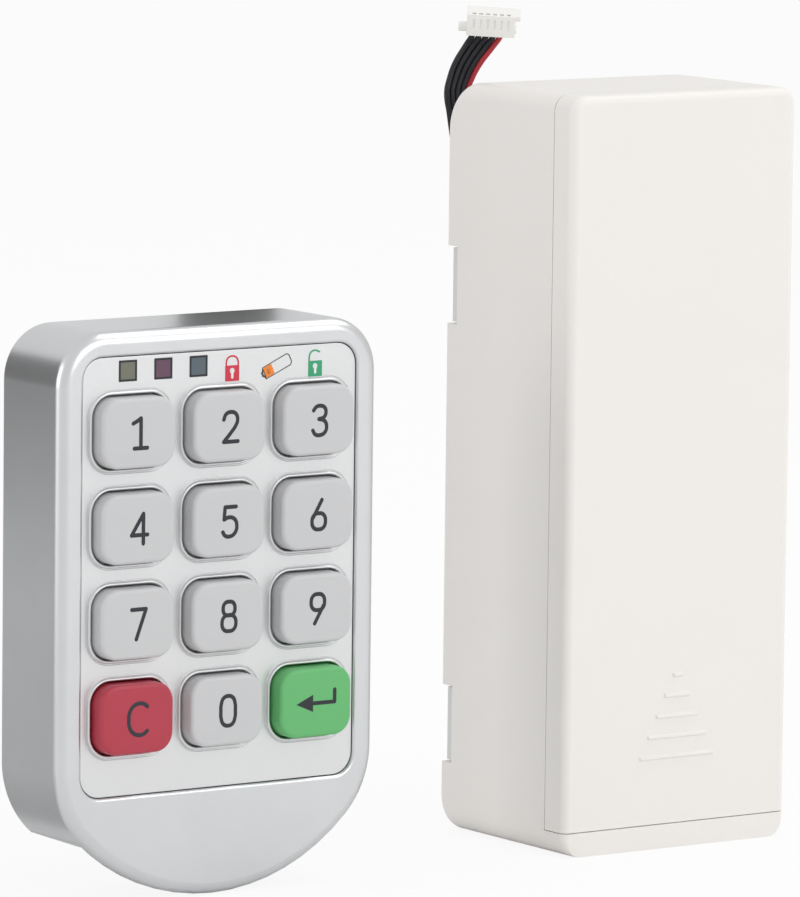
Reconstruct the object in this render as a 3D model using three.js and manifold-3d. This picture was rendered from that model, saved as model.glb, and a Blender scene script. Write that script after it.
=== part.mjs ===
// Electronic cabinet lock in two units. The cast keypad goes on the outside of a door, and the
// battery box with the motor-driven bolt goes on its inside, plugged into the keypad by a short lead.
// Millimetres, +Z up, fronts towards -Y. The origin is on the floor below the middle of both units.

import * as THREE from "three";
import { mergeVertices } from "three/addons/utils/BufferGeometryUtils.js";
import Module from "manifold-3d";

const wasm = await Module();
wasm.setup();

// Gaps shared by all pieces, and how far a cutting solid runs past what it cuts
const seatGap = 0.1;
const runGap = 0.3;
const overrun = 1;

// Where the two units stand
const unitGap = 31.4;
const keypadSetBack = 2.55;

// Keypad housing, a zinc casting round its face plate. Depth is counted from the plate's front
const plateSideBand = 3.7;
const plateTopBand = 3.5;
const keypadDepth = 14.7;
const keypadWall = 2;
const rimProud = 0.4;
const rimRound = 1.8;
const shoulderRadius = 7.5;
const cheekRadius = 14;
const chinSlope = THREE.MathUtils.degToRad(45);
const hollowFloor = 12.5;

// Scoop for the fingers behind the chin
const scoopWidth = 27.6;
const scoopHeight = 10;
const scoopRound = 4;
const lipThickness = 2;
const scoopSideReach = 22.5;
const scoopSideHeight = 8.9;
const scoopSideFoot = 5.4;

// Face plate and the ledge that it is glued on
const plateWidth = 45;
const plateHeight = 60.9;
const plateFloor = 15.2;
const plateRadius = 3.1;
const plateThickness = 1.2;
const ledgeWidth = 0.7;
const ledgeBack = 2.8;

// Keys, in three columns and four rows that are set out from the edges of the plate
const keyColumnCount = 3;
const keyRowCount = 4;
const keySideMargin = 7.7;
const keyFootMargin = 10.95;
const keyTopMargin = 10.35;
const keyColumnGap = 2.9;
const keyRowGap = 3.45;
const keyRadius = 2.75;
const keyProud = 2.6;
const keyRound = 0.55;
const keyTravel = 1;
const flangeMargin = 0.8;
const flangeThickness = 0.8;
const stemSide = 5.2;
const stemLength = 1.6;
const rimWidth = 0.4;
const rimLift = 0.35;

// Rubber mat with a dome under each key, and the board behind it
const matThickness = 0.9;
const domeHeight = 0.9;
const domeBaseRadius = 3.6;
const domeTopRadius = 2.2;
const boardSideMargin = 4.2;
const boardThickness = 1.6;
const boardMargin = 0.9;

// Indicator lights and the light pipes in front of them, set out from the plate's upper left corner
const lightSide = 2.4;
const lightDrop = 2;
const lightInset = 7.3;
const lightPitch = 5.77;
const lightBodyDepth = 1.8;
const lightBodyShare = 0.9;

// Parts on the back of the keypad board
const socketCavityWidth = 8.6;
const socketCavityHeight = 4.6;
const socketFloor = 0.5;
const socketWall = 1;
const socketX = -7;
const buzzerRadius = 4.5;
const buzzerX = 11;
const boardPartsZ = 44;

// Back cover, its screws, the brass inserts and the foam pad
const backCoverThickness = 2;
const padThickness = 0.8;
const padBand = 6;
const padHoleRadius = 2;
const postRadius = 1.7;
const postInset = 4.2;
const upperPostDrop = 5.7;
const lowerPostRise = 4.5;
const screwShankRadius = 0.85;
const screwShankLength = 5.5;
const screwHeadRadius = 1.6;
const screwHeadHeight = 1;
const insertRadius = 3;
const insertBore = 1.65;
const insertFloor = 0.5;
const insertBossWall = 1.3;
const insertLowerZ = 27;
const insertUpperZ = 61;

// Battery box
const boxWidth = 39.8;
const boxDepth = 30.4;
const boxHeight = 109.2;
const boxWall = 1.6;
const boxTopRadius = 2.5;
const boxFootRadius = 3;
const boxBackRadius = 4.5;
const boxHeelRadius = 2;
const boxFrontRound = 1.3;
// The rounded front runs on this far below the foot before it is cut off level
const footRunout = 4.5;
const seamDepth = 4.7;
const sillHeight = 3.5;
const coverGap = 0.2;

// Sliding battery cover: side rails, grooves and the raised ribs of its thumb grip
const railThickness = 1.4;
const railInset = 0.2;
const railFront = 2.2;
const railRoot = 7;
const lipWidth = 0.7;
const lipDepth = 1;
const gripRibs = 5;
const gripShortest = 1.7;
const gripStep = 2.9;
const gripPitch = 2.95;
const gripLowest = 13.4;
const gripThickness = 0.6;
const gripEnd = 0.2;
const gripLift = 0.35;

// Battery tray with two columns of two cells, which take the room that the case leaves them
const cellsPerColumn = 2;
const cellNubRadius = 1.9;
const cellNubHeight = 1;
const cellEdge = 0.4;
const cellFrontGap = 0.75;
const cellBackGap = 0.15;
const cellSideGap = 0.45;
const trayScrewStrip = 3.35;
const trayFloorThickness = 1.4;
const bayFront = 2.6;
const bayWall = 1.2;
const bayFoot = 7.2;
const bayHeadroom = 6.2;
const dividerThickness = 1.4;
const dividerFront = 7;
const contactThickness = 0.4;
const contactInset = 0.75;
const springLength = 5.2;
const springBaseRadius = 3.4;
const springTopRadius = 2.1;
const trayScrewInset = 1.7;
const trayScrewRise = 6;
const trayScrewHead = 1.4;
const trayLedgeWidth = 2.9;
const trayLedgeThickness = 1.2;

// Back wall of the case and the steel plate that holds the box on the door
const backWallThickness = 1.7;
const plateRecessMargin = 6.1;
const plateRecessDepth = 2.3;
const notchHeight = 11.3;
const lowerNotchZ = 9.95;
const upperNotchDrop = 35.05;
const earSetBack = 0.6;
const earInset = 0.5;
const doorScrewRadius = 2.1;
const doorScrewX = 11;
const doorScrewLowerZ = 32;
const doorScrewUpperZ = 68;

// Rubber grommet where the lead leaves the back
const grommetX = -12;
const grommetDrop = 25.2;
const grommetRadius = 3;
const grommetFlange = 4.2;
const grommetFlangeThickness = 0.9;

// Bolt with its rack, guide, and the geared motor that drives it, in the depth behind the tray. The
// gear fills what the rack leaves of that depth, and its teeth are shares of its module
const boltZ = 60;
const boltLead = 1.6;
const boltRearGap = 2.4;
const boltHeight = 10;
const boltTailGap = 1.982;
const boltTravel = 9;
const guideWall = 1.1;
const guideSetIn = 1.5;
const gearTeeth = 10;
const gearPressure = THREE.MathUtils.degToRad(25);
const addendumShare = 0.74;
const clearanceShare = 0.29;
const backlashShare = 0.23;
const gearRearGap = 1.061;
const gearWidth = 5;
const gearX = -3;
const rackHeight = 6;
const rackThickness = 1.1;
const motorWidth = 12;
const motorLength = 15;
const gearboxLength = 9;
const gearboxTopDrop = 6;
const shaftShare = 0.43;
const shaftBury = 3;
const shaftClearance = 0.05;

// Control board of the box
const controlWidth = 20;
const controlX = 4;
const controlRise = 4.6;
const controlHeadroom = 8.2;
const controlLead = 0.4;
const controlChip = 8;
const controlChipHeight = 2.2;
const controlBossRadius = 1.8;
const controlBossInset = 3;

// Lead: five wires from the grommet to a white plug with six ways, the last of which stays empty
const wireCount = 5;
const wireRadius = 0.4;
const wirePitch = 0.87;
const wireSteps = 22;
const wireSides = 8;
const plugWays = 6;
const terminalPitch = 1;
const plugEndWall = 1;
const plugHeight = 3.5;
const plugDepth = 2.9;
const plugCornerX = -3.8;
const plugCornerY = 2.1;
const plugCornerZ = 31.5;
const plugLip = 0.7;
const plugLipHeight = 0.9;
const plugLipInset = 0.3;
const plugHeel = 1.2;
const plugHeelFront = 1.3;
const terminalWidth = 0.5;
const terminalDepth = 0.5;
const terminalHeight = 1.8;

// Middle line of the wires, from where it leaves the grommet to the plug
const leadRoute = [
  [0, 0, 0],
  [0, 1.2, 0.05],
  [0, 2.7, 0.8],
  [0, 3.6, 2.2],
  [-0.1, 4, 4],
  [-0.4, 4.2, 6],
  [-0.9, 4.4, 9],
  [-1.6, 4.5, 12.5],
  [-2.3, 4.6, 16],
  [-2.9, 4.8, 20],
  [-3.2, 5, 23.15],
  [-2.7, 4.9, 25],
  [-1.9, 4.4, 27.2],
  [-0.67, 3.1, 29.9],
  [-0.5, 1.56, 31.66],
];
// How far the wires have turned from their row at the grommet to the row of terminals at each point
const leadFan = [0, 0, 0, 0, 0, 0, 0, 0, 0, 0, 0.1, 0.3, 0.6, 0.9, 1];

// Values that follow from the sizes above: the keypad round its plate
const plateTop = plateFloor + plateHeight;
const keypadWidth = plateWidth + 2 * plateSideBand;
const keypadHeight = plateTop + plateTopBand;
const keyColumnPitch = (plateWidth - 2 * keySideMargin) / (keyColumnCount - 1);
const keyRowPitch = (plateHeight - keyTopMargin - keyFootMargin) / (keyRowCount - 1);
const keyWidth = keyColumnPitch - keyColumnGap;
const keyHeight = keyRowPitch - keyRowGap;
const overallWidth = keypadWidth + unitGap + boxWidth;
const foremost = Math.min(0, keypadSetBack - keyProud);
const boxFrontY = -(foremost + boxDepth) / 2;
const keypadX = (keypadWidth - overallWidth) / 2;
const boxX = (overallWidth - boxWidth) / 2;
const pocketBack = plateThickness + seatGap;
const flangeFront = plateThickness + runGap;
const flangeBack = flangeFront + flangeThickness;
const stemBack = flangeBack + stemLength;
const domeFront = stemBack + keyTravel + 2 * seatGap;
const matFront = domeFront + domeHeight;
const boardFront = matFront + matThickness + seatGap;
const boardBack = boardFront + boardThickness;
const padFront = keypadDepth - padThickness;
const backCoverBack = padFront - seatGap;
const backCoverFront = backCoverBack - backCoverThickness;
const insertFront = boardBack + 2 * seatGap + insertFloor;
const boardWidth = keypadWidth - 2 * (keypadWall + boardSideMargin);
const keyTopZ = plateTop - keyTopMargin;
const lightZ = plateTop - lightDrop;
const lightFirst = lightInset - plateWidth / 2;
const windowWidth = keyWidth + 2 * runGap;
const windowHeight = keyHeight + 2 * runGap;

// The battery bay, from the case inwards
const insideHalf = boxWidth / 2 - boxWall;
const railOuter = insideHalf - railInset;
const railInner = railOuter - railThickness;
const trayWidth = 2 * (railInner - runGap);
const bayHalf = trayWidth / 2 - trayScrewStrip - bayWall;
const cellRadius = (bayHalf - 2 * seatGap - cellSideGap - dividerThickness / 2) / 2;
const cellColumnX = dividerThickness / 2 + cellSideGap + cellRadius;
const cellAxisDepth = boxWall + cellFrontGap + cellRadius;
const contactSide = 2 * (cellRadius - contactInset);
const trayFloorFront = cellAxisDepth + cellRadius + cellBackGap;
const trayBack = trayFloorFront + trayFloorThickness;
const bayTop = boxHeight - bayHeadroom;
const stackFoot = bayFoot + seatGap + contactThickness + seatGap;
const stackTop = bayTop - seatGap - contactThickness - springLength - runGap;
const cellStep = (stackTop - stackFoot + 2 * seatGap) / cellsPerColumn;
const cellLength = cellStep - 2 * seatGap;

// The bolt and its drive, between the tray and the back wall
const plateSeat = boxDepth - plateRecessDepth;
const backWallFront = plateSeat - backWallThickness;
const boltFront = trayBack + boltLead;
const boltDepth = backWallFront - boltRearGap - boltFront;
const gearRoom = backWallFront - gearRearGap - boltFront - rackThickness;
const gearModule = gearRoom / (gearTeeth + 2 * addendumShare + clearanceShare);
const gearAddendum = gearModule * addendumShare;
const gearClearance = gearModule * clearanceShare;
const gearBacklash = gearModule * backlashShare;
const gearRadius = (gearModule * gearTeeth) / 2;
const shaftRadius = gearRadius * shaftShare;
const rackPitchY = boltFront + rackThickness + gearClearance + gearAddendum;
const gearY = rackPitchY + gearRadius;
const motorDepth = 2 * (backWallFront - seatGap - gearY);
const gearboxTop = boltZ - gearboxTopDrop;
const boltTailX = gearX + gearRadius + gearAddendum + boltTailGap;
const guideTailX = boltTailX + guideSetIn;
const upperNotchZ = boxHeight - upperNotchDrop;
const grommetZ = boxHeight - grommetDrop;
const controlFront = (trayBack + backWallFront) / 2 - controlLead;
const controlFoot = boltZ + boltHeight / 2 + runGap + guideWall + controlRise;
const controlTop = boxHeight - controlHeadroom;
const controlZ = (controlFoot + controlTop) / 2;

const axes = 3;
const mergeReach = 1e-4;

function solidOf(geometry) {
  const bare = geometry.clone();
  bare.deleteAttribute("normal");
  bare.deleteAttribute("uv");
  const merged = mergeVertices(bare, mergeReach);
  const mesh = new wasm.Mesh({
    numProp: axes,
    vertProperties: merged.attributes.position.array,
    triVerts: new Uint32Array(merged.index.array),
  });
  return new wasm.Manifold(mesh);
}

function geometryOf(solid) {
  const mesh = solid.getMesh();
  const geometry = new THREE.BufferGeometry();
  geometry.setAttribute("position", new THREE.BufferAttribute(mesh.vertProperties, axes));
  geometry.setIndex(new THREE.BufferAttribute(mesh.triVerts, 1));
  geometry.computeVertexNormals();
  return geometry;
}

// Unit vectors, and the turns that lay a shape's plane across Y or across X
const unitX = new THREE.Vector3(1, 0, 0);
const unitY = new THREE.Vector3(0, 1, 0);
const unitZ = new THREE.Vector3(0, 0, 1);
const acrossY = new THREE.Matrix4().makeBasis(unitX, unitZ, unitY.clone().negate());
const acrossX = new THREE.Matrix4().makeBasis(unitY, unitZ, unitX);

function block([x0, x1], [y0, y1], [z0, z1]) {
  const geometry = new THREE.BoxGeometry(x1 - x0, y1 - y0, z1 - z0);
  geometry.translate((x0 + x1) / 2, (y0 + y1) / 2, (z0 + z1) / 2);
  return solidOf(geometry);
}

function slabY(shape, [y0, y1], divisions = 2) {
  const geometry = new THREE.ExtrudeGeometry(shape, {
    depth: y1 - y0,
    bevelEnabled: false,
    curveSegments: divisions,
  });
  geometry.applyMatrix4(acrossY);
  geometry.translate(0, y1, 0);
  return solidOf(geometry);
}

// A slab across Y whose edges are rounded at both faces
const roundSteps = 2;

function softSlabY(shape, [y0, y1], round, divisions = 2) {
  const geometry = new THREE.ExtrudeGeometry(shape, {
    depth: y1 - y0 - 2 * round,
    bevelThickness: round,
    bevelSize: round,
    bevelOffset: -round,
    bevelSegments: roundSteps,
    curveSegments: divisions,
  });
  geometry.applyMatrix4(acrossY);
  geometry.translate(0, y1 - round, 0);
  return solidOf(geometry);
}

function slabX(shape, [x0, x1], divisions = 2) {
  const geometry = new THREE.ExtrudeGeometry(shape, {
    depth: x1 - x0,
    bevelEnabled: false,
    curveSegments: divisions,
  });
  geometry.applyMatrix4(acrossX);
  geometry.translate(x0, 0, 0);
  return solidOf(geometry);
}

function slabZ(shape, [z0, z1], divisions = 2) {
  const geometry = new THREE.ExtrudeGeometry(shape, {
    depth: z1 - z0,
    bevelEnabled: false,
    curveSegments: divisions,
  });
  geometry.translate(0, 0, z0);
  return solidOf(geometry);
}

const roundSides = 16;

function rodY(x, z, radius, [y0, y1], endRadius = radius) {
  const geometry = new THREE.CylinderGeometry(endRadius, radius, y1 - y0, roundSides);
  geometry.translate(x, (y0 + y1) / 2, z);
  return solidOf(geometry);
}

function rodZ(x, y, radius, [z0, z1], endRadius = radius) {
  const geometry = new THREE.CylinderGeometry(endRadius, radius, z1 - z0, roundSides);
  geometry.rotateX(Math.PI / 2);
  geometry.translate(x, y, (z0 + z1) / 2);
  return solidOf(geometry);
}

// A rectangle with its own radius at its foot and at its top, drawn anticlockwise
function roundedRect([u0, u1], [v0, v1], foot, top = foot) {
  const shape = new THREE.Shape();
  const quarter = Math.PI / 2;
  shape.absarc(u1 - foot, v0 + foot, foot, -quarter, 0);
  shape.absarc(u1 - top, v1 - top, top, 0, quarter);
  shape.absarc(u0 + top, v1 - top, top, quarter, Math.PI);
  shape.absarc(u0 + foot, v0 + foot, foot, Math.PI, Math.PI + quarter);
  shape.closePath();
  return shape;
}

function centredRect(x, z, width, height, radius) {
  return roundedRect([x - width / 2, x + width / 2], [z - height / 2, z + height / 2], radius);
}

const keypad = new THREE.Group();
keypad.position.set(keypadX, boxFrontY + keypadSetBack, 0);
const box = new THREE.Group();
box.position.set(boxX, boxFrontY, 0);
const lead = new THREE.Group();
lead.position.set(grommetX, boxDepth, grommetZ);
box.add(lead);
const lock = new THREE.Group();
lock.add(keypad, box);

function addPart(group, name, solid, [color, roughness, metalness]) {
  const material = new THREE.MeshStandardMaterial({ color, roughness, metalness });
  const mesh = new THREE.Mesh(geometryOf(solid), material);
  mesh.name = name;
  group.add(mesh);
  return mesh;
}

const satinZinc = [0xb9babd, 0.32, 1];
const satinPlate = [0xd2d3d4, 0.4, 0.6];
const keyGrey = [0xcfcfcf, 0.5, 0];
const keyRed = [0xb83c4c, 0.5, 0];
const keyGreen = [0x5fbd73, 0.5, 0];
const whitePlastic = [0xf2eee8, 0.45, 0];
const darkRubber = [0x2b2c2e, 0.8, 0];
const boardGreen = [0x1f5c3a, 0.5, 0];
const brass = [0xc2a05a, 0.35, 1];
const steel = [0xc4c8ce, 0.35, 1];
const cellJacket = [0x35506e, 0.35, 0.4];

// The keypad's outline: round shoulders, straight sides, and cheeks that run into the curved chin
function keypadOutline(inset) {
  const cheek = cheekRadius - inset;
  const cheekX = keypadWidth / 2 - cheekRadius;
  const chinRadius = cheekRadius + cheekX / Math.sin(chinSlope);
  const chin = chinRadius - inset;
  const shoulder = shoulderRadius - inset;
  const cheekZ = chinRadius - cheekX / Math.tan(chinSlope);
  const shoulderX = keypadWidth / 2 - shoulderRadius;
  const shoulderZ = keypadHeight - shoulderRadius;
  const quarter = Math.PI / 2;
  const shape = new THREE.Shape();
  shape.absarc(0, chinRadius, chin, -quarter - chinSlope, -quarter + chinSlope);
  shape.absarc(cheekX, cheekZ, cheek, -quarter + chinSlope, 0);
  shape.absarc(shoulderX, shoulderZ, shoulder, 0, quarter);
  shape.absarc(-shoulderX, shoulderZ, shoulder, quarter, Math.PI);
  shape.absarc(-cheekX, cheekZ, cheek, Math.PI, Math.PI + quarter - chinSlope);
  shape.closePath();
  return shape;
}

function plateOutline(margin) {
  const half = plateWidth / 2 + margin;
  return roundedRect([-half, half], [plateFloor - margin, plateTop + margin], plateRadius + margin);
}

// The four corners where the back cover is screwed to posts of the housing
const postX = keypadWidth / 2 - postInset;
const coverPosts = [-1, 1].flatMap((side) => [
  [side * postX, hollowFloor + lowerPostRise],
  [side * postX, keypadHeight - upperPostDrop],
]);

function keypadHousing() {
  const backPast = keypadDepth + overrun + rimRound;
  const wide = keypadWidth + overrun;
  let housing = softSlabY(keypadOutline(0), [-rimProud, backPast], rimRound, 4);
  housing = housing.subtract(
    block([-wide, wide], [keypadDepth, backPast + overrun], [-overrun, keypadHeight + overrun]),
  );
  const hollow = slabY(keypadOutline(keypadWall), [ledgeBack, backPast], 3).intersect(
    block([-wide, wide], [0, backPast + overrun], [hollowFloor, keypadHeight]),
  );
  housing = housing.subtract(hollow);
  housing = housing.subtract(slabY(plateOutline(seatGap), [-rimProud - overrun, pocketBack], 3));
  housing = housing.subtract(slabY(plateOutline(-ledgeWidth), [0, ledgeBack + overrun], 3));
  const scoop = new THREE.Shape();
  scoop.moveTo(lipThickness, -overrun);
  scoop.lineTo(backPast, -overrun);
  scoop.lineTo(backPast, scoopHeight);
  scoop.absarc(lipThickness + scoopRound, scoopHeight - scoopRound, scoopRound, Math.PI / 2, Math.PI);
  scoop.closePath();
  housing = housing.subtract(slabX(scoop, [-scoopWidth / 2, scoopWidth / 2]));
  for (const side of [-1, 1]) {
    const flank = new THREE.Shape();
    const inner = side * (scoopWidth / 2 - overrun);
    flank.moveTo(inner, -overrun);
    flank.lineTo(side * scoopSideReach, -overrun);
    flank.lineTo(side * scoopSideReach, scoopSideHeight);
    flank.lineTo(inner, scoopSideFoot);
    flank.closePath();
    housing = housing.subtract(slabY(flank, [lipThickness, backPast]));
  }
  const postRoot = (pocketBack + ledgeBack) / 2;
  const postEnd = backCoverFront - seatGap;
  for (const [x, z] of coverPosts) {
    housing = housing.add(rodY(x, z, postRadius, [postRoot, postEnd]));
    const pilot = screwShankRadius + shaftClearance;
    const reach = [backCoverBack - screwHeadHeight - screwShankLength - runGap, postEnd + overrun];
    housing = housing.subtract(rodY(x, z, pilot, reach));
  }
  return housing;
}
addPart(keypad, "keypad_housing", keypadHousing(), satinZinc);

// Key names row by row, as they are read on the keypad
const keyRows = [
  ["key_1", "key_2", "key_3"],
  ["key_4", "key_5", "key_6"],
  ["key_7", "key_8", "key_9"],
  ["key_clear", "key_0", "key_enter"],
];
const keyPlaces = keyRows.flatMap((names, row) =>
  names.map((name, column) => ({
    name,
    x: (column - 1) * keyColumnPitch,
    z: keyTopZ - row * keyRowPitch,
  })),
);
const lightPlaces = [0, 1, 2].map((i) => lightFirst + i * lightPitch);

// Face plate with a raised rim round each key window
function keypadFaceplate() {
  let plate = slabY(plateOutline(0), [0, plateThickness], 3);
  const windowRadius = keyRadius + runGap;
  for (const { x, z } of keyPlaces) {
    const rimOutline = centredRect(
      x,
      z,
      windowWidth + 2 * rimWidth,
      windowHeight + 2 * rimWidth,
      windowRadius + rimWidth,
    );
    plate = plate.add(slabY(rimOutline, [-rimLift, plateThickness / 2]));
    const opening = centredRect(x, z, windowWidth, windowHeight, windowRadius);
    plate = plate.subtract(slabY(opening, [-rimLift - overrun, plateThickness + overrun]));
  }
  const lightHole = lightSide / 2 + seatGap;
  for (const x of lightPlaces) {
    const sides = [x - lightHole, x + lightHole];
    const heights = [lightZ - lightHole, lightZ + lightHole];
    plate = plate.subtract(block(sides, [-overrun, plateThickness + overrun], heights));
  }
  return plate;
}
addPart(keypad, "keypad_faceplate", keypadFaceplate(), satinPlate);

// One key: the cap, the flange that keeps it behind the plate, and the stem that meets the dome
function key({ x, z }) {
  const cap = centredRect(x, z, keyWidth, keyHeight, keyRadius);
  const flangeWidth = keyWidth + 2 * flangeMargin;
  const flangeHeight = keyHeight + 2 * flangeMargin;
  const flange = centredRect(x, z, flangeWidth, flangeHeight, keyRadius + flangeMargin);
  const half = stemSide / 2;
  return softSlabY(cap, [-keyProud, flangeBack], keyRound)
    .add(slabY(flange, [flangeFront, flangeBack], 1))
    .add(block([x - half, x + half], [flangeFront, stemBack], [z - half, z + half]));
}
const keyFinish = { key_clear: keyRed, key_enter: keyGreen };
for (const place of keyPlaces) {
  addPart(keypad, place.name, key(place), keyFinish[place.name] ?? keyGrey);
}

// Light pipes, flush with the plate, and the lights that stand on the board behind them
lightPlaces.forEach((x, i) => {
  const half = lightSide / 2;
  const lightFront = boardFront - seatGap - lightBodyDepth;
  const pipe = block([x - half, x + half], [0, lightFront - seatGap], [lightZ - half, lightZ + half]);
  addPart(keypad, `light_pipe_${i + 1}`, pipe, [[0x8d9187, 0x8f7384, 0x6d7a80][i], 0.3, 0]);
  const body = half * lightBodyShare;
  const lightSpan = [lightFront, boardFront - seatGap];
  const light = block([x - body, x + body], lightSpan, [lightZ - body, lightZ + body]);
  addPart(keypad, `status_light_${i + 1}`, light, [0xe8e6da, 0.4, 0]);
});

const boardFloor = hollowFloor + keypadWall + boardMargin + 2 * seatGap;
const boardTop = keypadHeight - keypadWall - boardMargin;
const keyFieldTop = keyTopZ + keyHeight / 2 + flangeMargin;

function keyMat() {
  const half = boardWidth / 2;
  let mat = block([-half, half], [matFront, matFront + matThickness], [boardFloor, keyFieldTop]);
  for (const { x, z } of keyPlaces) {
    mat = mat.add(rodY(x, z, domeTopRadius, [domeFront, matFront + matThickness / 2], domeBaseRadius));
  }
  return mat;
}
addPart(keypad, "key_mat", keyMat(), [0x9a9c9e, 0.8, 0]);
addPart(
  keypad,
  "keypad_board",
  block([-boardWidth / 2, boardWidth / 2], [boardFront, boardBack], [boardFloor, boardTop]),
  boardGreen,
);

// Socket for the lead's plug, open towards the door
const socketFront = boardBack + seatGap;
const socketBack = backCoverBack;
function leadSocket(margin) {
  const half = socketCavityWidth / 2 + socketWall + margin;
  const rise = socketCavityHeight / 2 + socketWall + margin;
  return [
    [socketX - half, socketX + half],
    [boardPartsZ - rise, boardPartsZ + rise],
  ];
}
function socketBody() {
  const [sides, heights] = leadSocket(0);
  const [cavitySides, cavityHeights] = leadSocket(-socketWall);
  const cavityFloor = socketFront + socketFloor;
  return block(sides, [socketFront, socketBack], heights).subtract(
    block(cavitySides, [cavityFloor, socketBack + overrun], cavityHeights),
  );
}
addPart(keypad, "lead_socket", socketBody(), [0xf0eee6, 0.5, 0]);
addPart(
  keypad,
  "buzzer",
  rodY(buzzerX, boardPartsZ, buzzerRadius, [socketFront, backCoverFront - 2 * seatGap]),
  [0x1c1c1e, 0.5, 0],
);

// Back cover and foam pad share an outline inside the housing's walls
function backOutline(gap, [y0, y1], floor) {
  const tall = block([-keypadWidth, keypadWidth], [y0, y1], [floor, keypadHeight]);
  return slabY(keypadOutline(keypadWall + gap), [y0, y1], 3).intersect(tall);
}
const insertPlaces = [insertLowerZ, insertUpperZ];

function backCover() {
  let cover = backOutline(seatGap, [backCoverFront, backCoverBack], hollowFloor + seatGap);
  const bossFront = boardBack + seatGap;
  for (const z of insertPlaces) {
    cover = cover.add(rodY(0, z, insertRadius + insertBossWall, [bossFront, backCoverBack]));
    const seat = insertFront - seatGap;
    cover = cover.subtract(rodY(0, z, insertRadius + shaftClearance, [seat, backCoverBack + overrun]));
  }
  const [sides, heights] = leadSocket(seatGap);
  cover = cover.subtract(block(sides, [backCoverFront - overrun, backCoverBack + overrun], heights));
  for (const [x, z] of coverPosts) {
    const through = [backCoverFront - overrun, backCoverBack + overrun];
    const sunk = [backCoverBack - screwHeadHeight - seatGap, backCoverBack + overrun];
    cover = cover.subtract(rodY(x, z, screwShankRadius + seatGap, through));
    cover = cover.subtract(rodY(x, z, screwHeadRadius + seatGap, sunk));
  }
  return cover;
}
addPart(keypad, "keypad_back_cover", backCover(), darkRubber);

function countersunkScrew(x, z, headEnd, headRadius, towards) {
  const neck = headEnd - towards * screwHeadHeight;
  const tip = neck - towards * screwShankLength;
  const head = [Math.min(neck, headEnd), Math.max(neck, headEnd)];
  const shank = [Math.min(tip, headEnd), Math.max(tip, headEnd)];
  return rodY(x, z, headRadius, head).add(rodY(x, z, screwShankRadius, shank));
}
coverPosts.forEach(([x, z], i) => {
  const screw = countersunkScrew(x, z, backCoverBack, screwHeadRadius, 1);
  addPart(keypad, `cover_screw_${i + 1}`, screw, steel);
});
insertPlaces.forEach((z, i) => {
  const span = [insertFront, backCoverBack];
  const bore = rodY(0, z, insertBore, [span[0] - overrun, span[1] + overrun]);
  addPart(keypad, `fixing_insert_${i + 1}`, rodY(0, z, insertRadius, span).subtract(bore), brass);
});

// Foam pad: a band round the back that the door presses on
function mountingPad() {
  const span = [padFront, keypadDepth];
  const past = [padFront - overrun, keypadDepth + overrun];
  const pad = backOutline(seatGap, span, hollowFloor + seatGap);
  const half = keypadWidth / 2 - keypadWall - padBand;
  const heights = [hollowFloor + padBand, keypadHeight - keypadWall - padBand];
  return pad.subtract(slabY(roundedRect([-half, half], heights, padHoleRadius), past));
}
addPart(keypad, "mounting_pad", mountingPad(), darkRubber);

// The whole outer form of the box, front edges rounded, foot edge sharp
function boxForm() {
  const half = boxWidth / 2;
  const backPast = boxDepth + overrun + boxFrontRound;
  const front = roundedRect([-half, half], [-footRunout, boxHeight], boxFootRadius, boxTopRadius);
  const face = roundedRect([-half, half], [0, boxHeight], boxFootRadius, boxTopRadius);
  const side = new THREE.Shape();
  const quarter = Math.PI / 2;
  side.moveTo(-overrun, 0);
  side.lineTo(boxDepth - boxHeelRadius, 0);
  side.absarc(boxDepth - boxHeelRadius, boxHeelRadius, boxHeelRadius, -quarter, 0);
  side.absarc(boxDepth - boxBackRadius, boxHeight - boxBackRadius, boxBackRadius, 0, quarter);
  side.lineTo(-overrun, boxHeight);
  side.closePath();
  return softSlabY(front, [0, backPast], boxFrontRound)
    .intersect(slabY(face, [-overrun, backPast]))
    .intersect(slabX(side, [-boxWidth, boxWidth], 3));
}

const sidesOf = (half) => [-half, half];
const ventPast = [backWallFront - overrun, boxDepth + overrun];
const railTop = boxHeight - boxWall - runGap;
const trayTop = railTop;
const trayFloorZ = sillHeight - boxWall;
const trayScrewX = trayWidth / 2 - trayScrewInset;
const trayScrewZ = trayTop - trayScrewRise;
const trayScrews = [
  [-trayScrewX, trayScrewZ],
  [trayScrewX, trayFloorZ + trayScrewRise],
];
const controlBosses = [-1, 1].map((side) => [
  controlX + side * (controlWidth / 2 - controlBossInset),
  controlZ + side * ((controlTop - controlFoot) / 2 - controlBossInset),
]);

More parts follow.
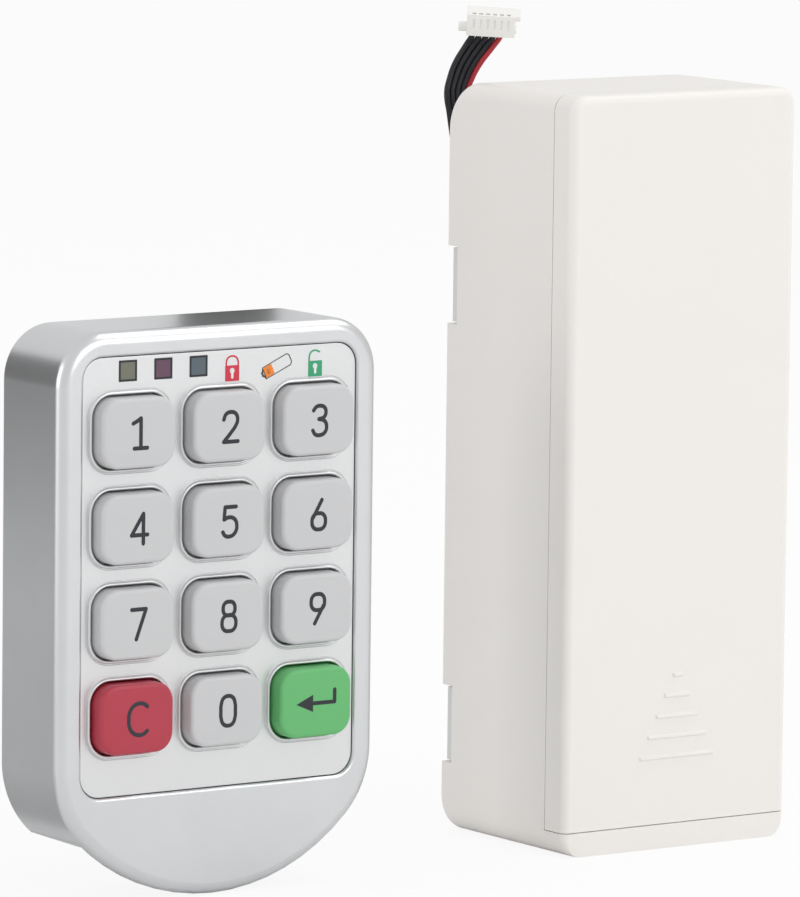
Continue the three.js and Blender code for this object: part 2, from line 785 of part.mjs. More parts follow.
function lockCase() {
  const wide = boxWidth + overrun;
  let shell = boxForm();
  const frontPast = [-overrun, seamDepth];
  shell = shell.subtract(block([-wide, wide], frontPast, [sillHeight, boxHeight + overrun]));
  const floor = trayFloorZ - 2 * seatGap;
  shell = shell.subtract(
    block(sidesOf(insideHalf), [boxWall, backWallFront], [floor, boxHeight - boxWall]),
  );
  const recess = [plateRecessMargin, boxHeight - plateRecessMargin];
  shell = shell.subtract(block(sidesOf(insideHalf), [plateSeat, boxDepth + overrun], recess));
  for (const z of [lowerNotchZ, upperNotchZ]) {
    const notch = [plateSeat, boxDepth + overrun];
    shell = shell.subtract(block([-wide, wide], notch, [z, z + notchHeight]));
  }
  shell = shell.subtract(rodY(grommetX, grommetZ, grommetRadius + seatGap, ventPast));
  const boltHole = boltHeight / 2 + runGap;
  const boltDeep = [boltFront - runGap, boltFront + boltDepth + runGap];
  shell = shell.subtract(
    block([insideHalf - overrun, wide], boltDeep, [boltZ - boltHole, boltZ + boltHole]),
  );
  for (const side of [-1, 1]) {
    const between = (a, b) => [Math.min(side * a, side * b), Math.max(side * a, side * b)];
    const railSpan = [sillHeight, railTop];
    shell = shell.add(block(between(railInner, railOuter), [railFront, railRoot], railSpan));
    const rootSpan = [sillHeight, boxHeight - boxWall / 2];
    shell = shell.add(block(between(railInner, insideHalf + boxWall / 2), [seamDepth, railRoot], rootSpan));
    const lip = [railFront, railFront + lipDepth];
    shell = shell.add(block(between(railInner, railOuter + lipWidth), lip, railSpan));
    const ledge = [trayBack + seatGap, trayBack + seatGap + trayLedgeThickness];
    const ledgeInner = insideHalf - trayLedgeWidth;
    const below = [floor - seatGap, boltZ - boltHeight];
    const above = [boltZ + boltHeight, boxHeight - boxWall / 2];
    for (const span of [below, above]) {
      shell = shell.add(block(between(ledgeInner, insideHalf + boxWall / 2), ledge, span));
    }
  }
  for (const [x, z] of trayScrews) {
    const post = screwHeadRadius + seatGap;
    shell = shell.add(rodY(x, z, post, [trayBack + seatGap, plateSeat - seatGap]));
    const reach = trayFloorFront + screwShankLength + runGap;
    shell = shell.subtract(rodY(x, z, screwShankRadius + shaftClearance, [trayBack - overrun, reach]));
  }
  for (const [x, z] of controlBosses) {
    const bossFront = controlFront + boardThickness + seatGap;
    shell = shell.add(rodY(x, z, controlBossRadius, [bossFront, plateSeat - seatGap]));
  }
  return shell;
}
addPart(box, "lock_case", lockCase(), whitePlastic);

function batteryCover() {
  const wide = boxWidth + overrun;
  const foot = sillHeight + coverGap;
  const past = [foot, boxHeight + overrun];
  let cover = boxForm().intersect(block([-wide, wide], [-overrun, seamDepth - coverGap], past));
  const inner = [foot - overrun, boxHeight - boxWall];
  cover = cover.subtract(block(sidesOf(insideHalf), [boxWall, seamDepth], inner));
  for (const side of [-1, 1]) {
    const near = side * (insideHalf - overrun);
    const far = side * (railOuter + lipWidth + coverGap);
    const groove = [railFront - coverGap, railFront + lipDepth + coverGap];
    const sides = [Math.min(near, far), Math.max(near, far)];
    cover = cover.subtract(block(sides, groove, inner));
  }
  for (let i = 0; i < gripRibs; i += 1) {
    const z = gripLowest + i * gripPitch;
    const length = gripShortest + (gripRibs - 1 - i) * gripStep;
    const rib = centredRect(0, z, length, gripThickness, gripEnd);
    cover = cover.add(slabY(rib, [-gripLift, boxWall / 2], 1));
  }
  return cover;
}
addPart(box, "battery_cover", batteryCover(), whitePlastic);

function batteryTray() {
  const half = trayWidth / 2;
  let tray = block([-half, half], [trayFloorFront, trayBack], [trayFloorZ, trayTop]);
  const deep = [bayFront, trayBack - seatGap];
  const tall = [bayFoot - bayWall, bayTop + bayWall];
  for (const side of [-1, 1]) {
    const edges = [side * bayHalf, side * (bayHalf + bayWall)].sort((a, b) => a - b);
    tray = tray.add(block(edges, deep, tall));
  }
  const across = [-bayHalf - bayWall / 2, bayHalf + bayWall / 2];
  tray = tray.add(block(across, deep, [bayFoot - bayWall, bayFoot]));
  tray = tray.add(block(across, deep, [bayTop, bayTop + bayWall]));
  const thick = sidesOf(dividerThickness / 2);
  const dividerSpan = [bayFoot - bayWall / 2, bayTop - contactThickness - 2 * seatGap - springLength];
  tray = tray.add(block(thick, [dividerFront, trayBack - seatGap], dividerSpan));
  for (const [x, z] of trayScrews) {
    const through = [trayFloorFront - overrun, trayBack + overrun];
    tray = tray.subtract(rodY(x, z, screwShankRadius + seatGap, through));
  }
  return tray;
}
addPart(box, "battery_tray", batteryTray(), [0xe9e5de, 0.5, 0]);
trayScrews.forEach(([x, z], i) => {
  const headFace = trayFloorFront - seatGap - screwHeadHeight;
  addPart(box, `tray_screw_${i + 1}`, countersunkScrew(x, z, headFace, trayScrewHead, -1), steel);
});

// Cells: two stacks, the left one with its caps up and the right one with its caps down
function cell() {
  const profile = [
    [0, 0],
    [cellRadius - cellEdge, 0],
    [cellRadius, cellEdge],
    [cellRadius, cellLength - cellNubHeight - cellEdge],
    [cellRadius - cellEdge, cellLength - cellNubHeight],
    [cellNubRadius, cellLength - cellNubHeight],
    [cellNubRadius, cellLength],
    [0, cellLength],
  ];
  const geometry = new THREE.LatheGeometry(
    profile.map(([r, z]) => new THREE.Vector2(r, z)),
    roundSides,
  );
  geometry.rotateX(Math.PI / 2);
  return solidOf(geometry);
}
const springRoom = springLength + 2 * seatGap;
for (let i = 0; i < cellsPerColumn; i += 1) {
  const lifted = cell().translate([-cellColumnX, cellAxisDepth, stackFoot + springRoom + i * cellStep]);
  addPart(box, `battery_cell_${i + 1}`, lifted, cellJacket);
}
for (let i = 0; i < cellsPerColumn; i += 1) {
  const turned = cell().rotate([180, 0, 0]);
  const top = stackFoot + cellLength + i * cellStep;
  const moved = turned.translate([cellColumnX, cellAxisDepth, top]);
  addPart(box, `battery_cell_${cellsPerColumn + i + 1}`, moved, cellJacket);
}

// Spring steel contacts: one coil at the foot of the left stack, one at the head of the right stack
function contactPlate(x, z, side) {
  const half = side / 2;
  const deep = [cellAxisDepth - contactSide / 2, cellAxisDepth + contactSide / 2];
  return block([x - half, x + half], deep, [z, z + contactThickness]);
}
const lowPlate = bayFoot + seatGap;
const highPlate = bayTop - seatGap - contactThickness;
const coilUp = rodZ(
  -cellColumnX,
  cellAxisDepth,
  springBaseRadius,
  [lowPlate + contactThickness / 2, lowPlate + contactThickness + springLength],
  springTopRadius,
);
const coilDown = rodZ(
  cellColumnX,
  cellAxisDepth,
  springTopRadius,
  [highPlate - springLength, highPlate + contactThickness / 2],
  springBaseRadius,
);
addPart(box, "spring_contact", contactPlate(-cellColumnX, lowPlate, contactSide).add(coilUp), steel);
addPart(box, "button_contact", contactPlate(cellColumnX, lowPlate, contactSide), steel);
const bridgeSide = contactSide + 2 * cellColumnX;
addPart(box, "bridge_contact", contactPlate(0, highPlate, bridgeSide).add(coilDown), steel);

// Bolt: a square head flush with the case's side, with a toothed arm behind it
const toothPitch = Math.PI * gearModule;
const rackTeeth = Math.ceil(boltTravel / toothPitch) + 1;

function rackTooth(x) {
  const half = toothPitch / 4 - gearBacklash / 2;
  const spread = gearAddendum * Math.tan(gearPressure);
  const tip = rackPitchY + gearAddendum;
  const root = rackPitchY - gearAddendum - gearClearance;
  const rootSpread = (rackPitchY - root) * Math.tan(gearPressure);
  const tooth = new THREE.Shape();
  tooth.moveTo(x - half - rootSpread, root - rackThickness / 2);
  tooth.lineTo(x + half + rootSpread, root - rackThickness / 2);
  tooth.lineTo(x + half + rootSpread, root);
  tooth.lineTo(x + half - spread, tip);
  tooth.lineTo(x - half + spread, tip);
  tooth.lineTo(x - half - rootSpread, root);
  tooth.closePath();
  return slabZ(tooth, [boltZ - rackHeight / 2, boltZ + rackHeight / 2]);
}

function deadbolt() {
  const heights = [boltZ - boltHeight / 2, boltZ + boltHeight / 2];
  const head = [boltTailX, boxWidth / 2 - seatGap];
  let bolt = block(head, [boltFront, boltFront + boltDepth], heights);
  const armTail = gearX - (rackTeeth - 1 / 2) * toothPitch;
  const armHeights = [boltZ - rackHeight / 2, boltZ + rackHeight / 2];
  const armDeep = [boltFront, rackPitchY - gearAddendum - gearClearance];
  bolt = bolt.add(block([armTail, boltTailX + overrun], armDeep, armHeights));
  for (let i = 0; i < rackTeeth; i += 1) {
    bolt = bolt.add(rackTooth(gearX - i * toothPitch));
  }
  return bolt;
}
addPart(box, "deadbolt", deadbolt(), steel);

// Guide that carries the head of the bolt on four sides, seated on the case's back wall
function boltGuide() {
  const grow = boltHeight / 2 + runGap;
  const sides = [guideTailX, insideHalf - runGap];
  const heights = [boltZ - grow - guideWall, boltZ + grow + guideWall];
  const channel = [boltFront - runGap, boltFront + boltDepth + runGap];
  return block(sides, [channel[0] - guideWall, backWallFront - seatGap], heights).subtract(
    block([guideTailX - overrun, boxWidth], channel, [boltZ - grow, boltZ + grow]),
  );
}
addPart(box, "bolt_guide", boltGuide(), [0xd8d8d4, 0.5, 0]);

// Drive gear with involute teeth, each tooth centred on its own spoke
function driveGear() {
  const base = gearRadius * Math.cos(gearPressure);
  const involute = (radius) => {
    const angle = Math.acos(Math.min(1, base / radius));
    return Math.tan(angle) - angle;
  };
  const halfTooth = (toothPitch / 2 - gearBacklash) / (2 * gearRadius);
  const pitchInvolute = involute(gearRadius);
  const root = gearRadius - gearAddendum - gearClearance;
  const tip = gearRadius + gearAddendum;
  const flankSteps = 4;
  const points = [];
  const place = (radius, angle) => {
    points.push(new THREE.Vector2(radius * Math.cos(angle), radius * Math.sin(angle)));
  };
  for (let tooth = 0; tooth < gearTeeth; tooth += 1) {
    const middle = (2 * Math.PI * tooth) / gearTeeth - Math.PI / 2 + Math.PI / gearTeeth;
    const low = Math.max(base, root);
    const rise = (tip - low) / flankSteps;
    const flank = Array.from({ length: flankSteps + 1 }, (_, i) => low + rise * i);
    const widths = flank.map((radius) => halfTooth + pitchInvolute - involute(radius));
    place(root, middle - widths[0]);
    flank.forEach((radius, i) => place(radius, middle - widths[i]));
    flank.toReversed().forEach((radius, i) => place(radius, middle + widths.toReversed()[i]));
    place(root, middle + widths[0]);
  }
  const heights = [boltZ - gearWidth / 2, boltZ + gearWidth / 2];
  const blank = slabZ(new THREE.Shape(points), heights).translate([gearX, gearY, 0]);
  const bore = [heights[0] - overrun, heights[1] + overrun];
  return blank.subtract(rodZ(gearX, gearY, shaftRadius + shaftClearance, bore));
}
addPart(box, "drive_gear", driveGear(), brass);
const shaftSpan = [gearboxTop - shaftBury, boltZ + gearWidth / 2 + seatGap];
addPart(box, "drive_shaft", rodZ(gearX, gearY, shaftRadius, shaftSpan), steel);

function gearbox() {
  const sides = [gearX - motorWidth / 2, gearX + motorWidth / 2];
  const deep = [gearY - motorDepth / 2, gearY + motorDepth / 2];
  const bore = rodZ(gearX, gearY, shaftRadius + shaftClearance, [
    gearboxTop - shaftBury - seatGap,
    gearboxTop + overrun,
  ]);
  return block(sides, deep, [gearboxTop - gearboxLength, gearboxTop]).subtract(bore);
}
addPart(box, "gearbox", gearbox(), brass);

// Motor can: round sides and two flats
function motorCan() {
  const top = gearboxTop - gearboxLength - seatGap;
  const sides = [gearX - motorWidth, gearX + motorWidth];
  const flats = [gearY - motorDepth / 2, gearY + motorDepth / 2];
  return rodZ(gearX, gearY, motorWidth / 2, [top - motorLength, top]).intersect(
    block(sides, flats, [top - motorLength - overrun, top + overrun]),
  );
}
addPart(box, "motor_can", motorCan(), steel);

function controlBoard() {
  const sides = [controlX - controlWidth / 2, controlX + controlWidth / 2];
  const heights = [controlFoot, controlTop];
  const half = controlChip / 2;
  const chip = block(
    [controlX - half, controlX + half],
    [controlFront - controlChipHeight, controlFront + boardThickness / 2],
    [controlZ - half, controlZ + half],
  );
  return block(sides, [controlFront, controlFront + boardThickness], heights).add(chip);
}
addPart(box, "control_board", controlBoard(), boardGreen);

// Steel plate in the back, its ears showing in the side notches of the case
function mountingPlate() {
  const span = [plateSeat + seatGap, boxDepth];
  const heights = [plateRecessMargin + runGap, boxHeight - plateRecessMargin - runGap];
  let plate = block(sidesOf(insideHalf - runGap), span, heights);
  for (const z of [lowerNotchZ, upperNotchZ]) {
    const ear = [z + runGap, z + notchHeight - runGap];
    const earSpan = [plateSeat + seatGap, boxDepth - earSetBack];
    plate = plate.add(block(sidesOf(boxWidth / 2 - earInset), earSpan, ear));
  }
  const past = [plateSeat - overrun, boxDepth + overrun];
  for (const z of [doorScrewLowerZ, doorScrewUpperZ]) {
    for (const side of [-1, 1]) {
      plate = plate.subtract(rodY(side * doorScrewX, z, doorScrewRadius, past));
    }
  }
  return plate.subtract(rodY(grommetX, grommetZ, grommetRadius + seatGap, past));
}
addPart(box, "mounting_plate", mountingPlate(), steel);

const flangeEnd = backWallFront - seatGap;
const grommetSpan = [flangeEnd - grommetFlangeThickness, boxDepth - runGap];
const grommetFlangeSpan = [flangeEnd - grommetFlangeThickness, flangeEnd];
const grommet = rodY(grommetX, grommetZ, grommetRadius, grommetSpan).add(
  rodY(grommetX, grommetZ, grommetFlange, grommetFlangeSpan),
);
addPart(box, "cable_grommet", grommet, darkRubber);

// Plug: turned on its own axes, leaning forwards, with its terminal slots in front
const plugAlong = new THREE.Vector3(0.818, -0.574, -0.05);
const plugUp = new THREE.Vector3(-0.194, -0.357, 0.914);
plugAlong.normalize();
plugUp.addScaledVector(plugAlong, -plugUp.dot(plugAlong)).normalize();
const plugBack = new THREE.Vector3().crossVectors(plugUp, plugAlong);
const plugLength = (plugWays - 1) * terminalPitch + 2 * plugEndWall;

function plugBody() {
  let body = block([0, plugLength], [0, plugDepth], [0, plugHeight]);
  body = body.add(block([-plugHeel, plugLength / 2], [plugHeelFront, plugDepth], [0, plugLipHeight]));
  const lipDeep = [plugLipInset, plugDepth - plugLipInset];
  const lipTall = [plugHeight - plugLipHeight, plugHeight];
  body = body.add(block([plugLength / 2, plugLength + plugLip], lipDeep, lipTall));
  for (let i = 0; i < plugWays; i += 1) {
    const middle = plugEndWall + i * terminalPitch;
    const sides = [middle - terminalWidth / 2, middle + terminalWidth / 2];
    const slot = [plugHeight - terminalHeight, plugHeight + overrun];
    body = body.subtract(block(sides, [-overrun, terminalDepth], slot));
  }
  return body;
}
const plug = addPart(lead, "lead_plug", plugBody(), [0xf4f2ec, 0.5, 0]);
plug.applyMatrix4(new THREE.Matrix4().makeBasis(plugAlong, plugBack, plugUp));
plug.position.set(plugCornerX, plugCornerY, plugCornerZ);

// Wires: they lie side by side, and turn together towards the row of terminals
function wire(index) {
  const place = index - (wireCount - 1) / 2;
  const points = leadRoute.map((point, i) =>
    new THREE.Vector3(...point)
      .addScaledVector(unitX, place * wirePitch * (1 - leadFan[i]))
      .addScaledVector(plugAlong, place * terminalPitch * leadFan[i]),
  );
  const section = new THREE.Shape();
  for (let i = 0; i < wireSides; i += 1) {
    const angle = (2 * Math.PI * i) / wireSides;
    section[i ? "lineTo" : "moveTo"](wireRadius * Math.cos(angle), wireRadius * Math.sin(angle));
  }
  section.closePath();
  const geometry = new THREE.ExtrudeGeometry(section, {
    steps: wireSteps,
    extrudePath: new THREE.CatmullRomCurve3(points),
    curveSegments: 1,
  });
  return solidOf(geometry);
}
for (let i = 0; i < wireCount; i += 1) {
  const color = i === wireCount - 1 ? 0xb3262e : 0x1d1f26;
  addPart(lead, `lead_wire_${i + 1}`, wire(i), [color, 0.45, 0]);
}

export default lock;
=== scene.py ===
from math import cos, pi, radians, sin, tan

import bmesh
import bpy
from mathutils import Matrix, Vector


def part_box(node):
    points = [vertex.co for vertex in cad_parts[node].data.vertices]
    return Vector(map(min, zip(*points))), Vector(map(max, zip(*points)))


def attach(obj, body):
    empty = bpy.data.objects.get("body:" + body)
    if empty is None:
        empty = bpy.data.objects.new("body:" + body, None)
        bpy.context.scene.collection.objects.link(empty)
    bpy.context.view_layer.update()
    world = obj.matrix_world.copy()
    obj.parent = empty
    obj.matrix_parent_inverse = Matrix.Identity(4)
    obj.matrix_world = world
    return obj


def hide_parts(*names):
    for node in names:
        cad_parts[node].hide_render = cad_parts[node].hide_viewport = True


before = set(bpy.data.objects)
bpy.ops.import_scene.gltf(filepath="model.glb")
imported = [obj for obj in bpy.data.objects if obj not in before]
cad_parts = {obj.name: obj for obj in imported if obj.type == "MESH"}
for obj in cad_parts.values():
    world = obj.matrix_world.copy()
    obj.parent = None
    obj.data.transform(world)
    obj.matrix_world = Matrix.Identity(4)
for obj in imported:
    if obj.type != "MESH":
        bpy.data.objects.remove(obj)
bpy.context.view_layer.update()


# Camera: a long lens a little above the lock and to its left, so that the keypad's front and left
# side show, and beside it the front and left side of the battery box.
mm = 0.001
eye = Vector((-638.9, -927.9, 201.0)) * mm
gaze = Vector((0.56466, 0.81578, -0.12516))
roll = radians(0.69)
lens = 321.07


def facing(place, way, front="-Z"):
    """Where something stands that is at a place and turns its front one way."""
    return Matrix.Translation(place) @ way.to_track_quat(front, "Y").to_matrix().to_4x4()


camera = bpy.data.objects.new("camera", bpy.data.cameras.new("camera"))
bpy.context.scene.collection.objects.link(camera)
bpy.context.scene.camera = camera
bpy.context.scene.view_settings.view_transform = "Standard"
camera.data.lens = lens
camera.data.clip_end = 20
camera.matrix_world = facing(eye, gaze) @ Matrix.Rotation(roll, 4, "Z")


# Lead: five stranded wires in PVC insulation, four black and one red. They leave the grommet in
# the back of the box side by side, climb behind it, and fan out into the crimps of the plug.
box_place = Vector((41.9, -15.175, 0))
lead_exit = Vector((-12, 30.4, 84))
wire_count = 5
wire_radius = 0.43
wire_pitch = 0.87
crimp_pitch = 1.0
crimp_length = 0.8
lead_route = [
    (0, 0, 0), (0, 1.2, 0.05), (0, 2.7, 0.8), (0, 3.6, 2.2), (-0.1, 4, 4), (-0.4, 4.2, 6),
    (-0.9, 4.4, 9), (-1.6, 4.5, 12.5), (-2.3, 4.6, 16), (-2.9, 4.8, 20), (-3.2, 5, 23.15),
    (-2.7, 4.9, 25), (-1.9, 4.4, 27.2), (-0.67, 3.1, 29.9), (-0.5, 1.56, 31.66),
]
lead_fan = [0, 0, 0, 0, 0, 0, 0, 0, 0, 0, 0.1, 0.3, 0.6, 0.9, 1]
plug_along = Vector((0.818, -0.574, -0.05)).normalized()
plug_up = Vector((-0.194, -0.357, 0.914))
plug_up = (plug_up - plug_up.dot(plug_along) * plug_along).normalized()
plug_back = plug_up.cross(plug_along)


def surface(name, colour, roughness, metallic=0.0, grain=0.3, depth=0.01, cloud=0.05):
    """A finish whose tone, gloss and fine relief change over it. Grain and depth are in mm."""
    material = bpy.data.materials.new(name)
    material.use_nodes = True
    nodes, links = material.node_tree.nodes, material.node_tree.links
    shader = nodes["Principled BSDF"]
    shader.inputs["Metallic"].default_value = metallic
    place = nodes.new("ShaderNodeTexCoord")
    fine = nodes.new("ShaderNodeTexNoise")
    fine.inputs["Scale"].default_value = 1 / (grain * mm)
    fine.inputs["Detail"].default_value = 3
    broad = nodes.new("ShaderNodeTexNoise")
    broad.inputs["Scale"].default_value = 90
    broad.inputs["Detail"].default_value = 4
    tint = nodes.new("ShaderNodeMix")
    tint.data_type = "RGBA"
    tint.inputs[6].default_value = [c * (1 - cloud) for c in colour] + [1]
    tint.inputs[7].default_value = [min(1, c * (1 + cloud)) for c in colour] + [1]
    gloss = nodes.new("ShaderNodeMapRange")
    gloss.inputs["To Min"].default_value = roughness * 0.85
    gloss.inputs["To Max"].default_value = roughness * 1.15
    relief = nodes.new("ShaderNodeBump")
    relief.inputs["Distance"].default_value = depth * mm
    links.new(place.outputs["Object"], fine.inputs["Vector"])
    links.new(place.outputs["Object"], broad.inputs["Vector"])
    links.new(broad.outputs["Fac"], tint.inputs["Factor"])
    links.new(tint.outputs[2], shader.inputs["Base Color"])
    links.new(fine.outputs["Fac"], gloss.inputs["Value"])
    links.new(gloss.outputs["Result"], shader.inputs["Roughness"])
    links.new(fine.outputs["Fac"], relief.inputs["Height"])
    links.new(relief.outputs["Normal"], shader.inputs["Normal"])
    return material


def lead_line(index):
    """The middle line of one wire, in metres."""
    place = index - (wire_count - 1) / 2
    line = []
    for point, fan in zip(lead_route, lead_fan):
        abreast = Vector((place * wire_pitch * (1 - fan), 0, 0))
        fanned = plug_along * place * crimp_pitch * fan
        line.append((Vector(point) + abreast + fanned + lead_exit + box_place) * mm)
    line.append(line[-1] + plug_up * crimp_length * mm)
    return line


def round_line(name, radius, resolution=3):
    """A line, with no points yet, that is drawn as a round rod."""
    curve = bpy.data.curves.new(name, "CURVE")
    curve.dimensions = "3D"
    curve.bevel_depth = radius
    curve.bevel_resolution = resolution
    curve.use_fill_caps = True
    return curve


def insulated_wire(index, material):
    """Draws one wire of the lead, and gives the point where it leaves the box and its length."""
    name = f"stranded_wire_{index + 1}"
    curve = round_line(name, wire_radius * mm)
    line = lead_line(index)
    spline = curve.splines.new("BEZIER")
    spline.resolution_u = 6
    spline.bezier_points.add(len(line) - 1)
    for knot, place in zip(spline.bezier_points, line):
        knot.co = place
        knot.handle_left_type = knot.handle_right_type = "AUTO"
    curve.materials.append(material)
    piece = bpy.data.objects.new(name, curve)
    bpy.context.scene.collection.objects.link(piece)
    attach(piece, "lock")
    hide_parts(f"lead_wire_{index + 1}")
    run = sum((b - a).length for a, b in zip(line, line[1:]))
    return piece, line[0], run


black_pvc = surface("black insulation", (0.006, 0.0065, 0.011), 0.5, grain=0.2, depth=0.01)
red_pvc = surface("red insulation", (0.42, 0.022, 0.035), 0.38, grain=0.2, depth=0.01)
wire_colours = [black_pvc] * (wire_count - 1) + [red_pvc]
lead = [insulated_wire(i, colour) for i, colour in enumerate(wire_colours)]


# Plug: a moulded nylon connector housing with six ways, the last of them empty. Each terminal
# shows in its own slot. The housing has a heel at one end, and a lip and a foot at the other.
plug_ways = 6
plug_length, plug_depth, plug_height = 7.0, 2.9, 3.5
plug_round, part_round, foot_round, slot_round = 0.15, 0.14, 0.1, 0.06
plug_heel = (-1.2, 1.3, 0), (0.3, plug_depth, 0.9)
plug_lip = (6.7, 0.3, 2.6), (plug_length + 0.7, 2.6, plug_height)
plug_foot = (6.9, 1.3, 0), (plug_length + 0.25, plug_depth, 0.8)
first_way = 1.0
latch_half, latch_foot, latch_drop, latch_depth = 0.16, 1.3, 0.7, 0.13
mouth_half, mouth_front, mouth_back, mouth_drop = 0.28, 0.24, 0.7, 1.6
crimp_half, crimp_front, crimp_back, crimp_rise = 0.44, 0.95, 1.95, 0.9
terminal_half, terminal_front, terminal_back = 0.2, 0.3, 0.9
terminal_foot, terminal_drop, terminal_round = 2.1, 0.4, 0.05
past = 1  # how far a cutting tool stands out of what it cuts
merge_within = 0.0005


def edges_of(verts):
    """The edges at some vertices, always in the same order."""
    return list(dict.fromkeys(e for v in verts for e in v.link_edges))


def block(bm, low, high, edge=0.0, steps=2):
    """A block between two corners, in mm, with all its edges rounded."""
    low, high = Vector(low), Vector(high)
    made = bmesh.ops.create_cube(bm, size=1)["verts"]
    bmesh.ops.scale(bm, verts=made, vec=high - low)
    bmesh.ops.translate(bm, verts=made, vec=(low + high) / 2)
    if edge:
        bmesh.ops.bevel(bm, geom=edges_of(made), offset=edge, offset_type="OFFSET", segments=steps,
                        profile=0.5, affect="EDGES", material=-1)
    return made


def piece_of(bm, name, place=(0, 0, 0), turn=None):
    """Makes an object of a mesh drawn in mm in a unit's own frame, and puts it in its place."""
    bmesh.ops.remove_doubles(bm, verts=bm.verts, dist=merge_within)
    if turn:
        bmesh.ops.transform(bm, verts=bm.verts, matrix=turn)
    bmesh.ops.translate(bm, verts=bm.verts, vec=Vector(place))
    bmesh.ops.scale(bm, verts=bm.verts, vec=(mm, mm, mm))
    bmesh.ops.recalc_face_normals(bm, faces=bm.faces)
    for face in bm.faces:
        face.smooth = True
    mesh = bpy.data.meshes.new(name)
    bm.to_mesh(mesh)
    bm.free()
    piece = bpy.data.objects.new(name, mesh)
    bpy.context.scene.collection.objects.link(piece)
    return piece


def shaped_by(piece, tools, mode="DIFFERENCE"):
    """Cuts the tools out of a piece, or joins them to it, and removes them."""
    for tool in tools:
        step = piece.modifiers.new(tool.name, "BOOLEAN")
        step.object = tool
        step.operation = mode
        step.solver = "EXACT"
    bpy.context.view_layer.update()
    solid = piece.evaluated_get(bpy.context.evaluated_depsgraph_get())
    mesh = bpy.data.meshes.new_from_object(solid)
    piece.modifiers.clear()
    piece.data = mesh
    for tool in tools:
        bpy.data.objects.remove(tool)
    return piece


def fitted(piece, body, material, nodes=(), soft=0.0, sharp=35):
    """Gives a piece its finish, its crisp and soft edges, and the body that it moves with."""
    piece.data.materials.clear()
    piece.data.materials.append(material)
    for face in piece.data.polygons:
        face.use_smooth = True
    if soft:
        edge = piece.modifiers.new("soft edge", "BEVEL")
        edge.width = soft * mm
        edge.segments = 2
        edge.limit_method = "ANGLE"
        edge.angle_limit = radians(sharp)
        edge.miter_outer = "MITER_ARC"
        edge.harden_normals = True
    else:
        piece.data.set_sharp_from_angle(angle=radians(sharp))
    shade = piece.modifiers.new("even shading", "WEIGHTED_NORMAL")
    shade.keep_sharp = True
    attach(piece, body)
    if nodes:
        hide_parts(*nodes)
    return piece


plug_corner = Vector((-3.8, 2.1, 31.5)) + lead_exit + box_place
plug_turn = Matrix((plug_along, plug_back, plug_up)).transposed().to_4x4()
nylon = surface("white nylon", (0.86, 0.85, 0.82), 0.35, grain=0.25, depth=0.004, cloud=0.02)


def plug_tool(low, high, edge=0.0):
    """A block that cuts or joins the plug, in the plug's own slanting frame."""
    bm = bmesh.new()
    block(bm, low, high, edge)
    return piece_of(bm, "plug_tool", plug_corner, plug_turn)


bm = bmesh.new()
block(bm, (0, 0, 0), (plug_length, plug_depth, plug_height), plug_round)
plug = piece_of(bm, "plug_housing", plug_corner, plug_turn)
plug = shaped_by(plug, [
    plug_tool(*plug_heel, part_round), plug_tool(*plug_lip, part_round),
    plug_tool(*plug_foot, foot_round),
], "UNION")
slots = []
for i in range(plug_ways):
    way = first_way + i * crimp_pitch
    slots += [
        plug_tool((way - latch_half, -past, latch_foot),
                  (way + latch_half, latch_depth, plug_height - latch_drop), slot_round),
        plug_tool((way - mouth_half, mouth_front, plug_height - mouth_drop),
                  (way + mouth_half, mouth_back, plug_height + past)),
        plug_tool((way - crimp_half, crimp_front, -past),
                  (way + crimp_half, crimp_back, crimp_rise), foot_round),
    ]
plug = shaped_by(plug, slots)
fitted(plug, "lock", nylon, ["lead_plug"])

# The terminals' tin is painted dark grey: painted shade for the slots that they sit back in.
slot_shaded_tin = surface("tinned terminal, painted slot shade", (0.20, 0.19, 0.18), 0.35, 0.8, grain=0.1, depth=0.004)
bm = bmesh.new()
for i in range(wire_count):
    way = first_way + i * crimp_pitch
    block(bm, (way - terminal_half, terminal_front, terminal_foot),
          (way + terminal_half, terminal_back, plug_height - terminal_drop), terminal_round)
terminals = fitted(piece_of(bm, "plug_terminals", plug_corner, plug_turn), "lock", slot_shaded_tin)


# Housing: a zinc die casting with a satin nickel coat. It has round shoulders, straight sides and
# a chin that the fingers pull, with a scoop behind it. A pocket in front takes the face plate.
keypad_place = Vector((-35.6, -12.625, 0))
keypad_width, keypad_height, keypad_depth = 52.4, 79.6, 14.7
cheek_radius, shoulder_radius, chin_slope = 14, 7.5, radians(45)
rim_front, rim_round, back_edge, waist = -0.4, 1.8, 0.25, 7.5
wall, hollow_front, hollow_floor = 2.0, 2.8, 12.5
plate_width, plate_height, plate_floor, plate_radius = 45.0, 60.9, 15.2, 3.1
pocket_gap, pocket_round, pocket_floor = 0.1, 0.45, 1.3
ledge_width, ledge_front, ledge_back = 0.7, 0.5, 4
scoop_half, scoop_front, scoop_top, brow_round = 13.8, 2, 10, 4
scoop_flank = [(12.8, -past), (22.5, -past), (22.5, 8.9), (12.8, 5.4)]


def ring(bm, corners, y, steps=8):
    """A closed loop across Y, made of round corners: (x, z, radius, first angle, turn)."""
    edges, ends = [], []
    for x, z, radius, start, turn in corners:
        first = bm.verts.new((x + radius * cos(start), y, z + radius * sin(start)))
        spun = bmesh.ops.spin(bm, geom=[first], cent=(x, y, z), axis=(0, -1, 0), angle=turn,
                              steps=steps, use_merge=False)
        last = [g for g in spun["geom_last"] if isinstance(g, bmesh.types.BMVert)][0]
        chain, vert = [], first
        while vert is not last:
            edge = [e for e in vert.link_edges if e not in chain][0]
            chain.append(edge)
            vert = edge.other_vert(vert)
        edges += chain
        ends.append((first, last))
    for (_, last), (first, _) in zip(ends, ends[1:] + ends[:1]):
        edges.append(bm.edges.new((last, first)))
    return edges


